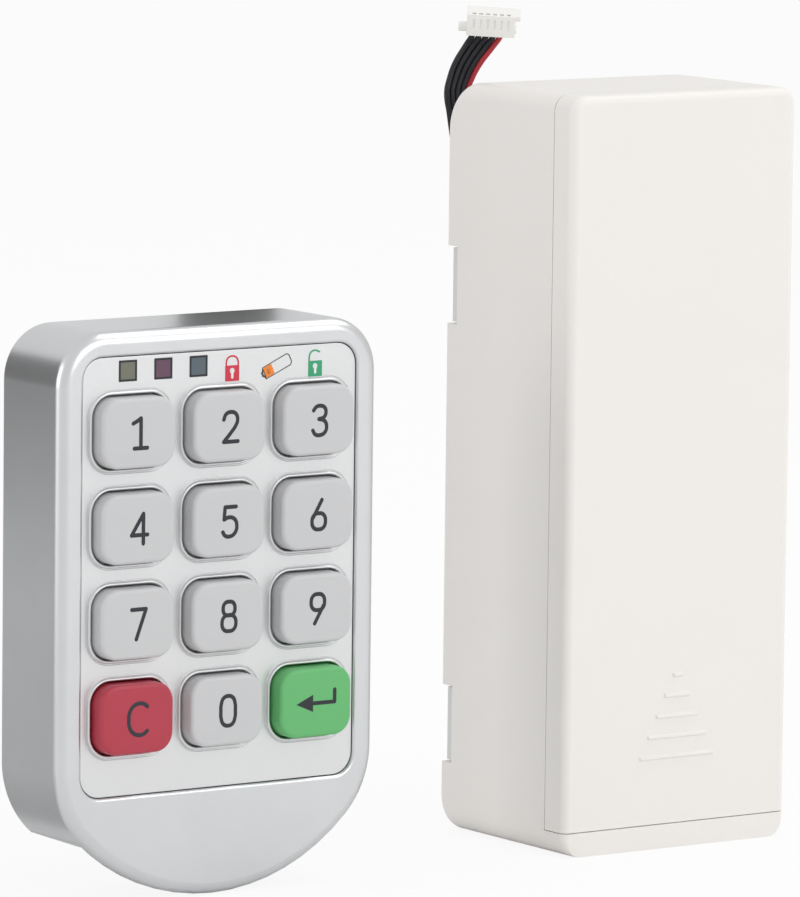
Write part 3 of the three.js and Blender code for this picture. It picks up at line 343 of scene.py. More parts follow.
def skin(bm, rings, front=True, back=True):
    """Joins a row of loops into one surface and closes its two ends."""
    for a, b in zip(rings, rings[1:]):
        bmesh.ops.bridge_loops(bm, edges=a + b)
    for loop, closed in ((rings[0], front), (rings[-1], back)):
        if closed:
            bmesh.ops.edgeloop_fill(bm, edges=loop)


def quarter_round(radius, steps):
    """How far in and how far back each step of a rounded edge lies, from its front face."""
    angles = [pi / 2 * i / steps for i in range(steps + 1)]
    return [(radius * (1 - sin(a)), radius * (1 - cos(a))) for a in angles]


def keypad_outline(inset):
    """The chin's wide arc, the cheeks that it runs into, and the shoulders."""
    slope = chin_slope
    cheek_x = keypad_width / 2 - cheek_radius
    chin = cheek_radius + cheek_x / sin(slope)
    cheek_z = chin - cheek_x / tan(slope)
    shoulder_x, shoulder_z = keypad_width / 2 - shoulder_radius, keypad_height - shoulder_radius
    cheek, shoulder = cheek_radius - inset, shoulder_radius - inset
    return [
        (0, chin, chin - inset, -pi / 2 - slope, 2 * slope),
        (cheek_x, cheek_z, cheek, -pi / 2 + slope, pi / 2 - slope),
        (shoulder_x, shoulder_z, shoulder, 0, pi / 2),
        (-shoulder_x, shoulder_z, shoulder, pi / 2, pi / 2),
        (-cheek_x, cheek_z, cheek, pi, pi / 2 - slope),
    ]


def round_rect(x, z, width, height, radius, top=None):
    """A rectangle with round corners, which may have another radius at the top."""
    top = radius if top is None else top
    right, left = x + width / 2, x - width / 2
    low, high = z - height / 2, z + height / 2
    return [
        (right - radius, low + radius, radius, -pi / 2, pi / 2),
        (right - top, high - top, top, 0, pi / 2),
        (left + top, high - top, top, pi / 2, pi / 2),
        (left + radius, low + radius, radius, pi, pi / 2),
    ]


def plate_outline(margin):
    """The face plate's edge, let out by a margin."""
    return round_rect(0, plate_floor + plate_height / 2, plate_width + 2 * margin,
                      plate_height + 2 * margin, plate_radius + margin)


def cut_off_below(bm, height):
    """Cuts a closed shape level and closes it again, keeping what is above."""
    cut = bmesh.ops.bisect_plane(bm, geom=bm.verts[:] + bm.edges[:] + bm.faces[:],
                                 plane_co=(0, 0, height), plane_no=(0, 0, 1), clear_inner=True)
    rim = [g for g in cut["geom_cut"] if isinstance(g, bmesh.types.BMEdge)]
    bmesh.ops.edgeloop_fill(bm, edges=rim)


def thicken(bm, faces, depth):
    """Draws flat faces out along Y into a solid."""
    grown = bmesh.ops.extrude_face_region(bm, geom=faces)["geom"]
    bmesh.ops.translate(bm, verts=[g for g in grown if isinstance(g, bmesh.types.BMVert)],
                        vec=(0, depth, 0))


bm = bmesh.new()
rows = [(inset, rim_front + back) for inset, back in quarter_round(rim_round, 8)]
rows += [(0, waist), (0, keypad_depth - back_edge), (back_edge, keypad_depth)]
skin(bm, [ring(bm, keypad_outline(inset), y, 16) for inset, y in rows])
housing = piece_of(bm, "cast_housing", keypad_place)

tools = []
bm = bmesh.new()
rows = [(pocket_gap + pocket_round, rim_front - past)]
rows += [(pocket_gap + inset, rim_front + back) for inset, back in quarter_round(pocket_round, 5)]
rows.append((pocket_gap, pocket_floor))
skin(bm, [ring(bm, plate_outline(margin), y) for margin, y in rows])
tools.append(piece_of(bm, "pocket", keypad_place))
bm = bmesh.new()
skin(bm, [ring(bm, plate_outline(-ledge_width), y) for y in (ledge_front, ledge_back)])
tools.append(piece_of(bm, "ledge", keypad_place))
bm = bmesh.new()
skin(bm, [ring(bm, keypad_outline(wall), y) for y in (hollow_front, keypad_depth + 2 * past)])
cut_off_below(bm, hollow_floor)
tools.append(piece_of(bm, "hollow", keypad_place))
bm = bmesh.new()
scoop = block(bm, (-scoop_half, scoop_front, -3 * past),
              (scoop_half, keypad_depth + 3 * past, scoop_top))
brow = [e for e in edges_of(scoop)
        if all(v.co.y < scoop_front + past and v.co.z > scoop_top - past for v in e.verts)]
bmesh.ops.bevel(bm, geom=brow, offset=brow_round, offset_type="OFFSET", segments=10, profile=0.5,
                affect="EDGES", material=-1)
tools.append(piece_of(bm, "scoop", keypad_place))
for side in (-1, 1):
    bm = bmesh.new()
    flank = bm.faces.new([bm.verts.new((side * x, scoop_front, z)) for x, z in scoop_flank])
    thicken(bm, [flank], keypad_depth)
    tools.append(piece_of(bm, "scoop_side", keypad_place))
housing = shaped_by(housing, tools)

satin_nickel = surface("satin nickel", (0.71, 0.72, 0.73), 0.3, 1.0, grain=0.35, depth=0.006,
                       cloud=0.05)
fitted(housing, "lock", satin_nickel, ["keypad_housing"], soft=0.12)


# Face plate: a silver coated plate glued into the pocket, with a raised bead round each key window
# and pictograms printed beside the three indicator lights.
key_width, key_height, key_radius = 11.9, 9.75, 2.75
key_gap = 0.3
column_pitch, row_pitch = 14.8, 13.2
plate_top = plate_floor + plate_height
top_row = plate_top - 10.35
key_names = [["1", "2", "3"], ["4", "5", "6"], ["7", "8", "9"], ["clear", "0", "enter"]]
key_spots = {
    name: ((column - 1) * column_pitch, top_row - row * row_pitch)
    for row, names in enumerate(key_names)
    for column, name in enumerate(names)
}
light_spots = [-15.2, -9.43, -3.66]
light_z = plate_top - 2
light_hole, light_round = 2.6, 0.12
plate_thickness = 1.2
plate_edge = [(-0.12, 0), (-0.035, 0.035), (0, 0.12), (0, plate_thickness)]
bead = [(0.7, 0), (0.62, 0.13), (0.54, 0.15), (0.46, 0.02), (0.41, -0.18), (0.31, -0.32),
        (0.16, -0.36), (0.04, -0.28), (0, -0.1), (0, plate_thickness)]


def window_outline(spot, margin):
    """The edge of a key's window, or of its bead at some margin round it."""
    room = 2 * (key_gap + margin)
    return round_rect(*spot, key_width + room, key_height + room, key_radius + key_gap + margin)


def light_outline(x):
    """The small square hole of a light pipe."""
    return round_rect(x, light_z, light_hole, light_hole, light_round)


bm = bmesh.new()
rims = [[ring(bm, plate_outline(margin), y) for margin, y in plate_edge]]
for spot in key_spots.values():
    rims.append([ring(bm, window_outline(spot, margin), y) for margin, y in bead])
for x in light_spots:
    rims.append([ring(bm, light_outline(x), y, 3) for y in (0, plate_thickness)])
front_loops, back_loops = [], []
for rows in rims:
    skin(bm, rows, front=False, back=False)
    front_loops += rows[0]
    back_loops += rows[-1]
for loops in (front_loops, back_loops):
    bmesh.ops.triangle_fill(bm, edges=loops, use_beauty=True, use_dissolve=False)
face_plate = piece_of(bm, "face_plate", keypad_place)
silver_coat = surface("silver coat", (0.76, 0.765, 0.77), 0.34, 0.75, grain=0.12, depth=0.012,
                      cloud=0.02)
fitted(face_plate, "lock", silver_coat, ["keypad_faceplate"], sharp=50)

ink_depth = 0.03


def inked(bm, name, ink, body="lock"):
    """Gives the ink that is drawn so far its colour, and lays it on the keypad."""
    fitted(piece_of(bm, name, keypad_place), body, ink)


def printed(name, outlines, ink, y):
    """A patch of ink on the plate: the first loop is its edge and the second a hole in it."""
    bm = bmesh.new()
    loops = []
    for outline in outlines:
        loops += ring(bm, outline, y, 6)
    filled = bmesh.ops.triangle_fill(bm, edges=loops, use_beauty=True, use_dissolve=False)
    thicken(bm, [g for g in filled["geom"] if isinstance(g, bmesh.types.BMFace)], ink_depth)
    inked(bm, name, ink)


def stroke(bm, points, width, y, closed=False, straight=False):
    """A line of ink of one width with round ends, laid flat on a face."""
    curve = round_line("stroke", width / 2)
    spline = curve.splines.new("BEZIER")
    spline.resolution_u = 8
    spline.bezier_points.add(len(points) - 1)
    for knot, (x, z) in zip(spline.bezier_points, points):
        knot.co = (x, 0, z)
        knot.handle_left_type = knot.handle_right_type = "VECTOR" if straight else "AUTO"
    spline.use_cyclic_u = closed
    drawn = bpy.data.objects.new("stroke", curve)
    mesh = bpy.data.meshes.new_from_object(drawn)
    flat = bmesh.new()
    flat.from_mesh(mesh)
    if not closed:
        for x, z in (points[0], points[-1]):
            end = bmesh.ops.create_icosphere(flat, subdivisions=2, radius=width / 2)["verts"]
            bmesh.ops.translate(flat, verts=end, vec=(x, 0, z))
    bmesh.ops.scale(flat, verts=flat.verts, vec=(1, ink_depth / width * 2, 1))
    bmesh.ops.translate(flat, verts=flat.verts, vec=(0, y, 0))
    flat.to_mesh(mesh)
    flat.free()
    bm.from_mesh(mesh)
    bpy.data.objects.remove(drawn)
    bpy.data.curves.remove(curve)
    bpy.data.meshes.remove(mesh)


dark_ink = surface("dark grey ink", (0.022, 0.025, 0.031), 0.65, grain=0.1, depth=0.003)
red_ink = surface("red ink", (0.62, 0.03, 0.06), 0.5, grain=0.1, depth=0.003)
green_ink = surface("green ink", (0.03, 0.36, 0.16), 0.5, grain=0.1, depth=0.003)
orange_ink = surface("orange ink", (0.85, 0.24, 0.03), 0.5, grain=0.1, depth=0.003)
white_ink = surface("white ink", (0.82, 0.82, 0.82), 0.5, grain=0.1, depth=0.003, cloud=0.02)
ink_face = -ink_depth

frame_outer, frame_inner, frame_round = 2.95, 2.36, 0.1
for x, tag in zip(light_spots, "abc"):
    printed(f"light_frame_{tag}", [round_rect(x, light_z, frame_outer, frame_outer, frame_round),
                                   round_rect(x, light_z, frame_inner, frame_inner, frame_round)],
            dark_ink, ink_face)

padlocks = [("padlock_shut", 1.9, 72.8, red_ink, 0), ("padlock_open", 15.7, 72.7, green_ink, 0.15)]
padlock_width, padlock_height, padlock_round = 2.3, 2.2, 0.12
eye_size, eye_round, eye_rise = 0.8, 0.39, 0.35
keyway_top, keyway_foot, keyway_width = 0.2, -0.55, 0.4
hoop_width = 0.24
hoop_start = [(-0.98, 1.05, 0), (-0.98, 1.55, 1), (-0.7, 2.15, 1), (0, 2.4, 1), (0.7, 2.15, 1)]
hoop_end = [(0.98, 1.55, 1), (0.98, 1.05, 0)]
for name, x, z, ink, lift in padlocks:
    printed(f"{name}_body", [round_rect(x, z, padlock_width, padlock_height, padlock_round),
                             round_rect(x, z + eye_rise, eye_size, eye_size, eye_round)],
            ink, ink_face)
    bm = bmesh.new()
    stroke(bm, [(x, z + keyway_top), (x, z + keyway_foot)], keyway_width, ink_face, straight=True)
    inked(bm, f"{name}_keyway", white_ink)
    bm = bmesh.new()
    hoop = hoop_start if lift else hoop_start + hoop_end
    stroke(bm, [(x + right, z + rise + lift * lifts) for right, rise, lifts in hoop],
           hoop_width, ink_face)
    inked(bm, f"{name}_hoop", ink)

cell_tilt = radians(24)
cell_mark = Vector((9.35, 0, 73.4))
cell_side = [(-2.3, 0.85), (2.1, 0.85), (2.4, 0.5), (2.4, -0.5), (2.1, -0.85), (-2.3, -0.85)]
cell_cap = [(-2.3, 0.35), (-2.72, 0.3), (-2.72, -0.3), (-2.3, -0.35)]
cell_end = [(-2.3, 0.85), (-2.55, 0), (-2.3, -0.85)]
cell_line, cap_line = 0.14, 0.16
cell_band = [(-1.55, -1.54, 0, 1.52), (-2.0, -1.0, 0.5, 0.55), (-2.0, -1.0, 0, 0.6),
             (-2.0, -1.0, -0.5, 0.55)]
band_back = 0.012


def tilted(points):
    """Points of the small cell picture, turned and put in its place."""
    turn = Matrix.Rotation(-cell_tilt, 3, "Y")
    return [tuple((turn @ Vector((x, 0, z)) + cell_mark).xz) for x, z in points]


bm = bmesh.new()
stroke(bm, tilted(cell_side), cell_line, ink_face, closed=True, straight=True)
stroke(bm, tilted(cell_cap), cap_line, ink_face, straight=True)
stroke(bm, tilted(cell_end), cell_line, ink_face)
inked(bm, "cell_mark_outline", dark_ink)
bm = bmesh.new()
for left, right, z, width in cell_band:
    stroke(bm, tilted([(left, z), (right, z)]), width, ink_face + band_back, straight=True)
inked(bm, "cell_mark_band", orange_ink)


# Keys: moulded caps with a satin front and a soft edge, each with a flange that keeps it behind
# the plate and a stem that presses its dome. The figures are printed on them in dark grey.
key_proud = 2.6
key_edge = 0.6
key_crown = [(0.9, 0.02), (2.2, 0.05)]
crown_radius = 0.3
flange_front, flange_back, flange_reach = 1.5, 2.3, 0.8
stem_size, stem_radius, stem_end = 5.2, 0.6, 3.9


def key_cap(name, material):
    """A cap as rows of (y, width, height, corner radius), from its stem to its front."""
    spot = key_spots[name]
    rows = [(y, stem_size, stem_size, stem_radius) for y in (stem_end, flange_back)]
    rows += [(y, key_width + 2 * flange_reach, key_height + 2 * flange_reach,
              key_radius + flange_reach) for y in (flange_back, flange_front)]
    rows.append((flange_front, key_width, key_height, key_radius))
    for inset, back in reversed(quarter_round(key_edge, 6)):
        rows.append((back - key_proud, key_width - 2 * inset, key_height - 2 * inset,
                     key_radius - inset))
    for inset, lift in key_crown:
        rows.append((-key_proud - lift, key_width - 2 * inset - 2 * key_edge,
                     key_height - 2 * inset - 2 * key_edge,
                     max(crown_radius, key_radius - inset)))
    bm = bmesh.new()
    skin(bm, [ring(bm, round_rect(*spot, width, height, radius), y)
              for y, width, height, radius in rows])
    fitted(piece_of(bm, f"key_cap_{name}", keypad_place), f"key_{name}_body", material,
           [f"key_{name}"], sharp=60)


key_grey = surface("silver key plastic", (0.575, 0.578, 0.586), 0.42, grain=0.1, depth=0.006,
                   cloud=0.02)
key_red = surface("red key plastic", (0.44, 0.035, 0.062), 0.42, grain=0.1, depth=0.006,
                  cloud=0.03)
key_green = surface("green key plastic", (0.125, 0.47, 0.16), 0.42, grain=0.1, depth=0.006,
                    cloud=0.03)
key_finishes = {name: (key_grey, "key_silver") for name in key_spots}
key_finishes |= {"clear": (key_red, "key_red"), "enter": (key_green, "key_green")}
for name, (plastic, slot) in key_finishes.items():
    key_cap(name, plastic)

figure_lift = 0.055
figure_face = -key_proud - figure_lift
pen = 0.6
arrow_radius, arrow_spread, arrow_x, arrow_z = 1.4, 1.33, -1.55, -0.1
oval = [(0, 1), (0.7, 0.8), (1, 0), (0.7, -0.8), (0, -1), (-0.7, -0.8), (-1, 0), (-0.7, 0.8)]


def oval_at(z, half_width, half_height):
    """The bowl of a figure, at some height above the middle of its key."""
    return [(x * half_width, z + h * half_height) for x, h in oval]


curved, angled, looped = (False, False), (False, True), (True, False)
figures = {
    "1": [([(-1.15, 1.4), (-0.55, 1.68), (0.1, 2.06)], curved),
          ([(0.1, 2.06), (0.1, -2.06)], angled), ([(-0.95, -2.06), (1.15, -2.06)], angled)],
    "2": [([(-1.15, 1.05), (-0.82, 1.75), (0, 2.06), (0.85, 1.75), (1.12, 0.95), (0.8, 0.1),
            (0.1, -0.75), (-1.15, -2.06)], curved), ([(-1.15, -2.06), (1.2, -2.06)], angled)],
    "3": [([(-1.05, 1.45), (-0.6, 1.92), (0, 2.06), (0.75, 1.82), (1.02, 1.15), (0.72, 0.45),
            (-0.15, 0.2)], curved),
          ([(-0.15, 0.2), (0.8, -0.1), (1.15, -0.92), (0.85, -1.72), (0, -2.06), (-0.75, -1.9),
            (-1.15, -1.35)], curved)],
    "4": [([(0.62, 2.06), (-1.3, -0.85), (1.3, -0.85)], angled),
          ([(0.62, 2.06), (0.62, -2.06)], angled)],
    "5": [([(1.0, 2.06), (-0.8, 2.06), (-0.95, 0.35)], angled),
          ([(-0.95, 0.35), (-0.2, 0.62), (0.75, 0.35), (1.15, -0.62), (0.8, -1.65), (-0.1, -2.06),
            (-0.8, -1.88), (-1.15, -1.4)], curved)],
    "6": [([(0.5, 2.06), (-0.92, -0.35)], angled), (oval_at(-0.93, 1.13, 1.13), looped)],
    "7": [([(-1.15, 2.06), (1.15, 2.06), (-0.4, -2.06)], angled)],
    "8": [(oval_at(1.1, 0.98, 0.96), looped), (oval_at(-0.93, 1.15, 1.12), looped)],
    "9": [([(-0.5, -2.06), (0.92, 0.35)], angled), (oval_at(0.93, 1.13, 1.13), looped)],
    "0": [([(0, 2.08), (0.78, 1.8), (1.16, 0.9), (1.2, 0), (1.16, -0.9), (0.78, -1.8), (0, -2.08),
            (-0.78, -1.8), (-1.16, -0.9), (-1.2, 0), (-1.16, 0.9), (-0.78, 1.8)], looped)],
    "clear": [([(1.5, 1.7), (0.95, 2.08), (0.15, 2.2), (-0.85, 1.8), (-1.42, 0.9), (-1.52, 0),
                (-1.42, -0.9), (-0.85, -1.8), (0.15, -2.2), (0.95, -2.08), (1.5, -1.7)], curved)],
    "enter": [([(-0.9, -0.1), (3.0, -0.1), (3.0, 1.6)], angled)],
}
for name, strokes in figures.items():
    x0, z0 = key_spots[name]
    bm = bmesh.new()
    for points, (closed, straight) in strokes:
        points = [(x0 + x, z0 + z) for x, z in points]
        for run in zip(points, points[1:]) if straight else [points]:
            stroke(bm, run, pen, figure_face, closed, straight)
    if name == "enter":
        head = bmesh.ops.create_circle(bm, cap_ends=True, radius=arrow_radius,
                                       segments=3)["verts"]
        bmesh.ops.rotate(bm, verts=head, matrix=Matrix.Rotation(pi / 2, 3, "X"))
        bmesh.ops.rotate(bm, verts=head, matrix=Matrix.Rotation(-pi / 2, 3, "Y"))
        bmesh.ops.scale(bm, verts=head, vec=(arrow_spread, 1, 1))
        bmesh.ops.translate(bm, verts=head,
                            vec=(x0 + arrow_x, figure_face - ink_depth / 2, z0 + arrow_z))
        thicken(bm, [f for f in head[0].link_faces if all(v in head for v in f.verts)], ink_depth)
    inked(bm, f"figure_{name}", dark_ink, f"key_{name}_body")


# Lights: smoky acrylic light pipes flush with the plate, over small diodes on the board. Unlit,
# they look olive, plum and slate.
pipe_colours = (0.16, 0.165, 0.12), (0.13, 0.06, 0.10), (0.09, 0.12, 0.14)


def dressed(material, *nodes):
    """Gives CAD solids whose shape is right their finish."""
    for name in nodes:
        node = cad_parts[name]
        node.data.materials.clear()
        node.data.materials.append(material)


for i, colour in enumerate(pipe_colours):
    pipe = surface(f"smoky acrylic {i + 1}", colour, 0.3, grain=0.4, depth=0.01, cloud=0.25)
    dressed(pipe, f"light_pipe_{i + 1}")
diode = surface("diode body", (0.7, 0.7, 0.66), 0.35)
dressed(diode, "status_light_1", "status_light_2", "status_light_3")


# Inside the keypad: a silicone mat with a dome under each key, the circuit board behind it, and on
# the board's back the socket for the lead and a buzzer.
silicone = surface("grey silicone", (0.3, 0.31, 0.32), 0.7, grain=0.2, depth=0.02)
solder_mask = surface("green solder mask", (0.02, 0.12, 0.05), 0.35, grain=0.5, depth=0.01,
                      cloud=0.2)
black_abs = surface("black plastic", (0.02, 0.02, 0.022), 0.5, grain=0.15, depth=0.02, cloud=0.1)
dressed(silicone, "key_mat")
dressed(solder_mask, "keypad_board", "control_board")
dressed(black_abs, "buzzer", "keypad_back_cover")
dressed(nylon, "lead_socket")

socket_x = -7
pin_half, pin_front, pin_back, pin_foot, pin_top, pin_round = 0.2, 9.3, 12.6, 43.3, 43.7, 0.08
socket_tin = surface("tinned pins", (0.6, 0.58, 0.52), 0.3, 1.0, grain=0.1, depth=0.003)
bm = bmesh.new()
for i in range(plug_ways):
    x = socket_x + (i - (plug_ways - 1) / 2) * crimp_pitch
    block(bm, (x - pin_half, pin_front, pin_foot), (x + pin_half, pin_back, pin_top), pin_round)
fitted(piece_of(bm, "socket_pins", keypad_place), "lock", socket_tin)


# Back of the keypad: a black cover held by four small screws, two brass inserts for the screws
# that come through the door, and a band of foam that the door presses on.
screw_face, screw_length, cover_screw_radius = 13.8, 5.5, 1.6
shank_radius, point_radius = 0.85, 0.45
cross_width, cross_depth = 0.35, 0.55
post_side, post_rise, post_drop = 4.2, 4.5, 5.7
insert_heights = 27.0, 61.0
insert_profile = [(1.65, 9.3), (1.65, 13.5), (1.95, 13.8), (2.8, 13.8), (3.0, 13.6), (3.0, 9.5),
                  (2.8, 9.3)]
zinc_plate = surface("zinc plated steel", (0.6, 0.6, 0.6), 0.3, 1.0, grain=0.2, depth=0.01,
                     cloud=0.1)
turned_brass = surface("turned brass", (0.72, 0.5, 0.2), 0.28, 1.0, grain=0.3, depth=0.01,
                       cloud=0.08)
foam = surface("black foam", (0.022, 0.022, 0.024), 0.85, grain=0.35, depth=0.06, cloud=0.2)
dressed(foam, "mounting_pad")


def circle(bm, radius, segments, place, across=True):
    """A round loop at a place in mm, standing across Y or lying level."""
    made = bmesh.ops.create_circle(bm, radius=radius, segments=segments)["verts"]
    if across:
        bmesh.ops.rotate(bm, verts=made, matrix=Matrix.Rotation(pi / 2, 3, "X"))
    bmesh.ops.translate(bm, verts=made, vec=place)
    return edges_of(made)


def screw(x, z, head_face, head_radius, towards, place):
    """A countersunk screw with a cross recess, its head facing one way along Y."""
    bm = bmesh.new()
    rows = [(head_radius * 0.93, 0.0), (head_radius, 0.07), (head_radius, 0.35),
            (shank_radius, 1.0), (shank_radius, screw_length + 0.6),
            (point_radius, screw_length + 1.0)]
    skin(bm, [circle(bm, radius, 24, (x, head_face - towards * down, z)) for radius, down in rows])
    head = piece_of(bm, "screw", place)
    cross_length = head_radius * 1.1
    arms = []
    for wide, tall in ((cross_length, cross_width), (cross_width, cross_length)):
        bm = bmesh.new()
        low, high = sorted((head_face + towards * past, head_face - towards * cross_depth))
        block(bm, (x - wide / 2, low, z - tall / 2), (x + wide / 2, high, z + tall / 2))
        arms.append(piece_of(bm, "recess", place))
    return shaped_by(head, arms)


post_spots = [(side * (keypad_width / 2 - post_side), z)
              for side in (-1, 1) for z in (hollow_floor + post_rise, keypad_height - post_drop)]
for i, (x, z) in enumerate(post_spots):
    fitted(screw(x, z, screw_face, cover_screw_radius, 1, keypad_place), "lock", zinc_plate,
           [f"cover_screw_{i + 1}"])
for i, z in enumerate(insert_heights):
    bm = bmesh.new()
    rows = [circle(bm, radius, 32, (0, y, z)) for radius, y in insert_profile]
    skin(bm, rows + rows[:1], front=False, back=False)
    fitted(piece_of(bm, f"brass_insert_{i + 1}", keypad_place), "lock", turned_brass,
           [f"fixing_insert_{i + 1}"])


# Battery box case: white ABS, moulded in one piece with its side rails, foot and back. Its back
# has a recess for the steel plate and two notches a side for the plate's ears.
box_width, box_depth, box_height = 39.8, 30.4, 109.2
case_wall = 1.6
front_round, foot_radius, top_radius, back_radius, heel_radius = 1.3, 3.0, 2.5, 4.5, 2.0
inside = box_width / 2 - case_wall
inside_floor, inside_back = 1.7, 26.4
seam_depth, sill = 4.7, 3.5
recess_front, recess_rim = 28.1, 6.1
ear_notches = (9.95, 21.25), (74.15, 85.45)
bolt_hole = (15.7, 24.3), (54.7, 65.3)
lead_hole, hole_front, hole_back = 3.1, 25, 32
round_start = 8  # how far ahead of the back's round edge the straight side has its last loop
beyond = 30
# Cut out: the front that the cover takes, the inside, the back's recess, the notches, and the
# bolt's hole.
case_cuts = [
    ((-beyond, -2 * past, sill), (beyond, seam_depth, box_height + 2 * past)),
    ((-inside, case_wall, inside_floor), (inside, inside_back, box_height - case_wall)),
    ((-inside, recess_front, recess_rim),
     (inside, box_depth + 2 * past, box_height - recess_rim)),
]
case_cuts += [((-beyond, recess_front, foot), (beyond, box_depth + 3 * past, top))
              for foot, top in ear_notches]
case_cuts.append(((inside - past, bolt_hole[0][0], bolt_hole[1][0]),
                  (beyond, bolt_hole[0][1], bolt_hole[1][1])))
# A rail: its web, the foot that joins it to the case, and the lip that holds the cover. Each is
# given across, in depth and in height.
rail_blocks = [
    ((16.7, 18.1), (2.2, 7.0), (sill - 1, 107.3)),
    ((16.7, 19.0), (seam_depth + 0.01, 6.98), (sill - 0.98, 108.3)),
    ((16.72, 18.8), (2.22, 3.2), (sill - 0.96, 107.28)),
]


def box_ring(bm, y, side=0.0, top=0.0, foot=0.0):
    """The box's outline at one depth, drawn in by so much at its sides, top and foot."""
    height = box_height - top - foot
    return ring(bm, round_rect(0, foot + height / 2, box_width - 2 * side, height,
                               foot_radius - side, top_radius - min(side, front_round)), y, 10)


def box_tool(low, high, edge=0.0, steps=2):
    """A block that cuts or joins the box, in the box's own frame."""
    bm = bmesh.new()
    block(bm, low, high, edge, steps)
    return piece_of(bm, "box_tool", box_place)


def side_tool(side, across, depth, rise):
    """A block at one side of the box: its ends across, in depth and in height."""
    (left, right), (front, back), (foot, top) = sorted(side * x for x in across), depth, rise
    return box_tool((left, front, foot), (right, back, top))


white_abs = surface("white plastic", (0.83, 0.805, 0.775), 0.42, grain=0.35, depth=0.012,
                    cloud=0.012)
bm = bmesh.new()
rows = [box_ring(bm, back, inset, inset) for inset, back in quarter_round(front_round, 6)]
rows.append(box_ring(bm, box_depth - back_radius - round_start))
for inset, back in reversed(quarter_round(back_radius, 10)):
    reach = max(0, heel_radius - back)
    rows.append(box_ring(bm, box_depth - back, 0, inset,
                         heel_radius - (heel_radius ** 2 - reach ** 2) ** 0.5))
skin(bm, rows)
case = piece_of(bm, "box_case", box_place)
tools = [box_tool(low, high) for low, high in case_cuts]
bm = bmesh.new()
skin(bm, [circle(bm, lead_hole, 40, (lead_exit.x, y, lead_exit.z))
          for y in (hole_front, hole_back)])
tools.append(piece_of(bm, "lead_hole", box_place))
case = shaped_by(case, tools)
rails = [side_tool(side, *rail) for side in (-1, 1) for rail in rail_blocks]
case = shaped_by(case, rails, "UNION")
fitted(case, "lock", white_abs, ["lock_case"], soft=0.12, sharp=40)


# Battery cover: a shallow white ABS lid that slides up on the rails. A grip of five raised ribs,
# shorter towards the top, shows where the thumb pushes.
seam_gap = 0.09
cover_foot = sill + seam_gap
cover_back = seam_depth - seam_gap
cover_hollow = 6
groove_across, groove_depth = (17.3, 19.0), (2.0, 3.4)
rib_count, rib_foot, rib_pitch = 5, 13.4, 2.95
rib_shortest, rib_step = 1.7, 2.9
rib_half, rib_proud, rib_root, rib_round = 0.3, 0.3, 0.8, 0.2
bm = bmesh.new()
rows = [box_ring(bm, back, inset, inset) for inset, back in quarter_round(front_round, 6)]
rows.append(box_ring(bm, cover_back))
skin(bm, rows)
cut_off_below(bm, cover_foot)
cover = piece_of(bm, "box_cover", box_place)
groove_rise = cover_foot - 1.1 * past, box_height - case_wall - 0.01
tools = [box_tool((-inside, case_wall, cover_foot - past),
                  (inside, cover_hollow, box_height - case_wall))]
tools += [side_tool(side, groove_across, groove_depth, groove_rise) for side in (-1, 1)]
cover = shaped_by(cover, tools)
ribs = []
for i in range(rib_count):
    half = (rib_shortest + (rib_count - 1 - i) * rib_step) / 2
    z = rib_foot + i * rib_pitch
    ribs.append(box_tool((-half, -rib_proud, z - rib_half), (half, rib_root, z + rib_half),
                         rib_round, 3))
cover = shaped_by(cover, ribs, "UNION")
fitted(cover, "cover_body", white_abs, ["battery_cover"], soft=0.12, sharp=40)


# Battery tray: moulded white ABS with two bays, each for two cells end to end. Two screws hold it
# to the case. The bolt's guide behind it is of the same plastic.
tray_screw_spots = (-14.7, 101.3), (14.7, 7.9)
tray_screw_face, tray_screw_radius = 11.9, 1.4
tray_white = surface("tray plastic", (0.76, 0.73, 0.69), 0.45, grain=0.3, depth=0.015, cloud=0.02)
dressed(tray_white, "battery_tray", "bolt_guide")
for i, (x, z) in enumerate(tray_screw_spots):
    fitted(screw(x, z, tray_screw_face, tray_screw_radius, -1, box_place), "lock", zinc_plate,
           [f"tray_screw_{i + 1}"])


# Cells: four drawn steel cans, nickel plated, each in a dark printed jacket that leaves its ends
# bare. One end is flat, and the other has a raised cap.
cell_length, cell_pitch = 44.5, 44.7
cell_x, cell_y, stack_foot, coil_room = 6.4, 7.6, 7.8, 5.4
cells = [(-cell_x, stack_foot + coil_room + i * cell_pitch, 1) for i in (0, 1)]
cells += [(cell_x, stack_foot + cell_length + i * cell_pitch, -1) for i in (0, 1)]
jacket_profile = [(4.6, 0.3), (5.0, 0.3), (5.25, 0.55), (5.25, 42.8), (5.0, 43.1), (4.6, 43.1)]
can_profile = [(4.3, 0), (4.8, 0.15), (4.8, 43.2), (4.5, 43.4), (1.95, 43.5), (1.9, 44.3),
               (1.7, cell_length)]
jacket = surface("dark cell jacket", (0.03, 0.05, 0.09), 0.3, grain=0.3, depth=0.004)
can_steel = surface("nickel plated can", (0.62, 0.62, 0.6), 0.25, 1.0, grain=0.2, depth=0.005)


def turned(name, profile, x, base, up):
    """A part of a cell, turned on an upright axis: (radius, height) from its flat end."""
    bm = bmesh.new()
    skin(bm, [circle(bm, radius, 40, (x, cell_y, base + up * height), across=False)
              for radius, height in profile])
    return piece_of(bm, name, box_place)


for i, (x, base, up) in enumerate(cells):
    fitted(turned(f"cell_jacket_{i + 1}", jacket_profile, x, base, up), "lock", jacket,
           [f"battery_cell_{i + 1}"])
    fitted(turned(f"cell_can_{i + 1}", can_profile, x, base, up), "lock", can_steel)


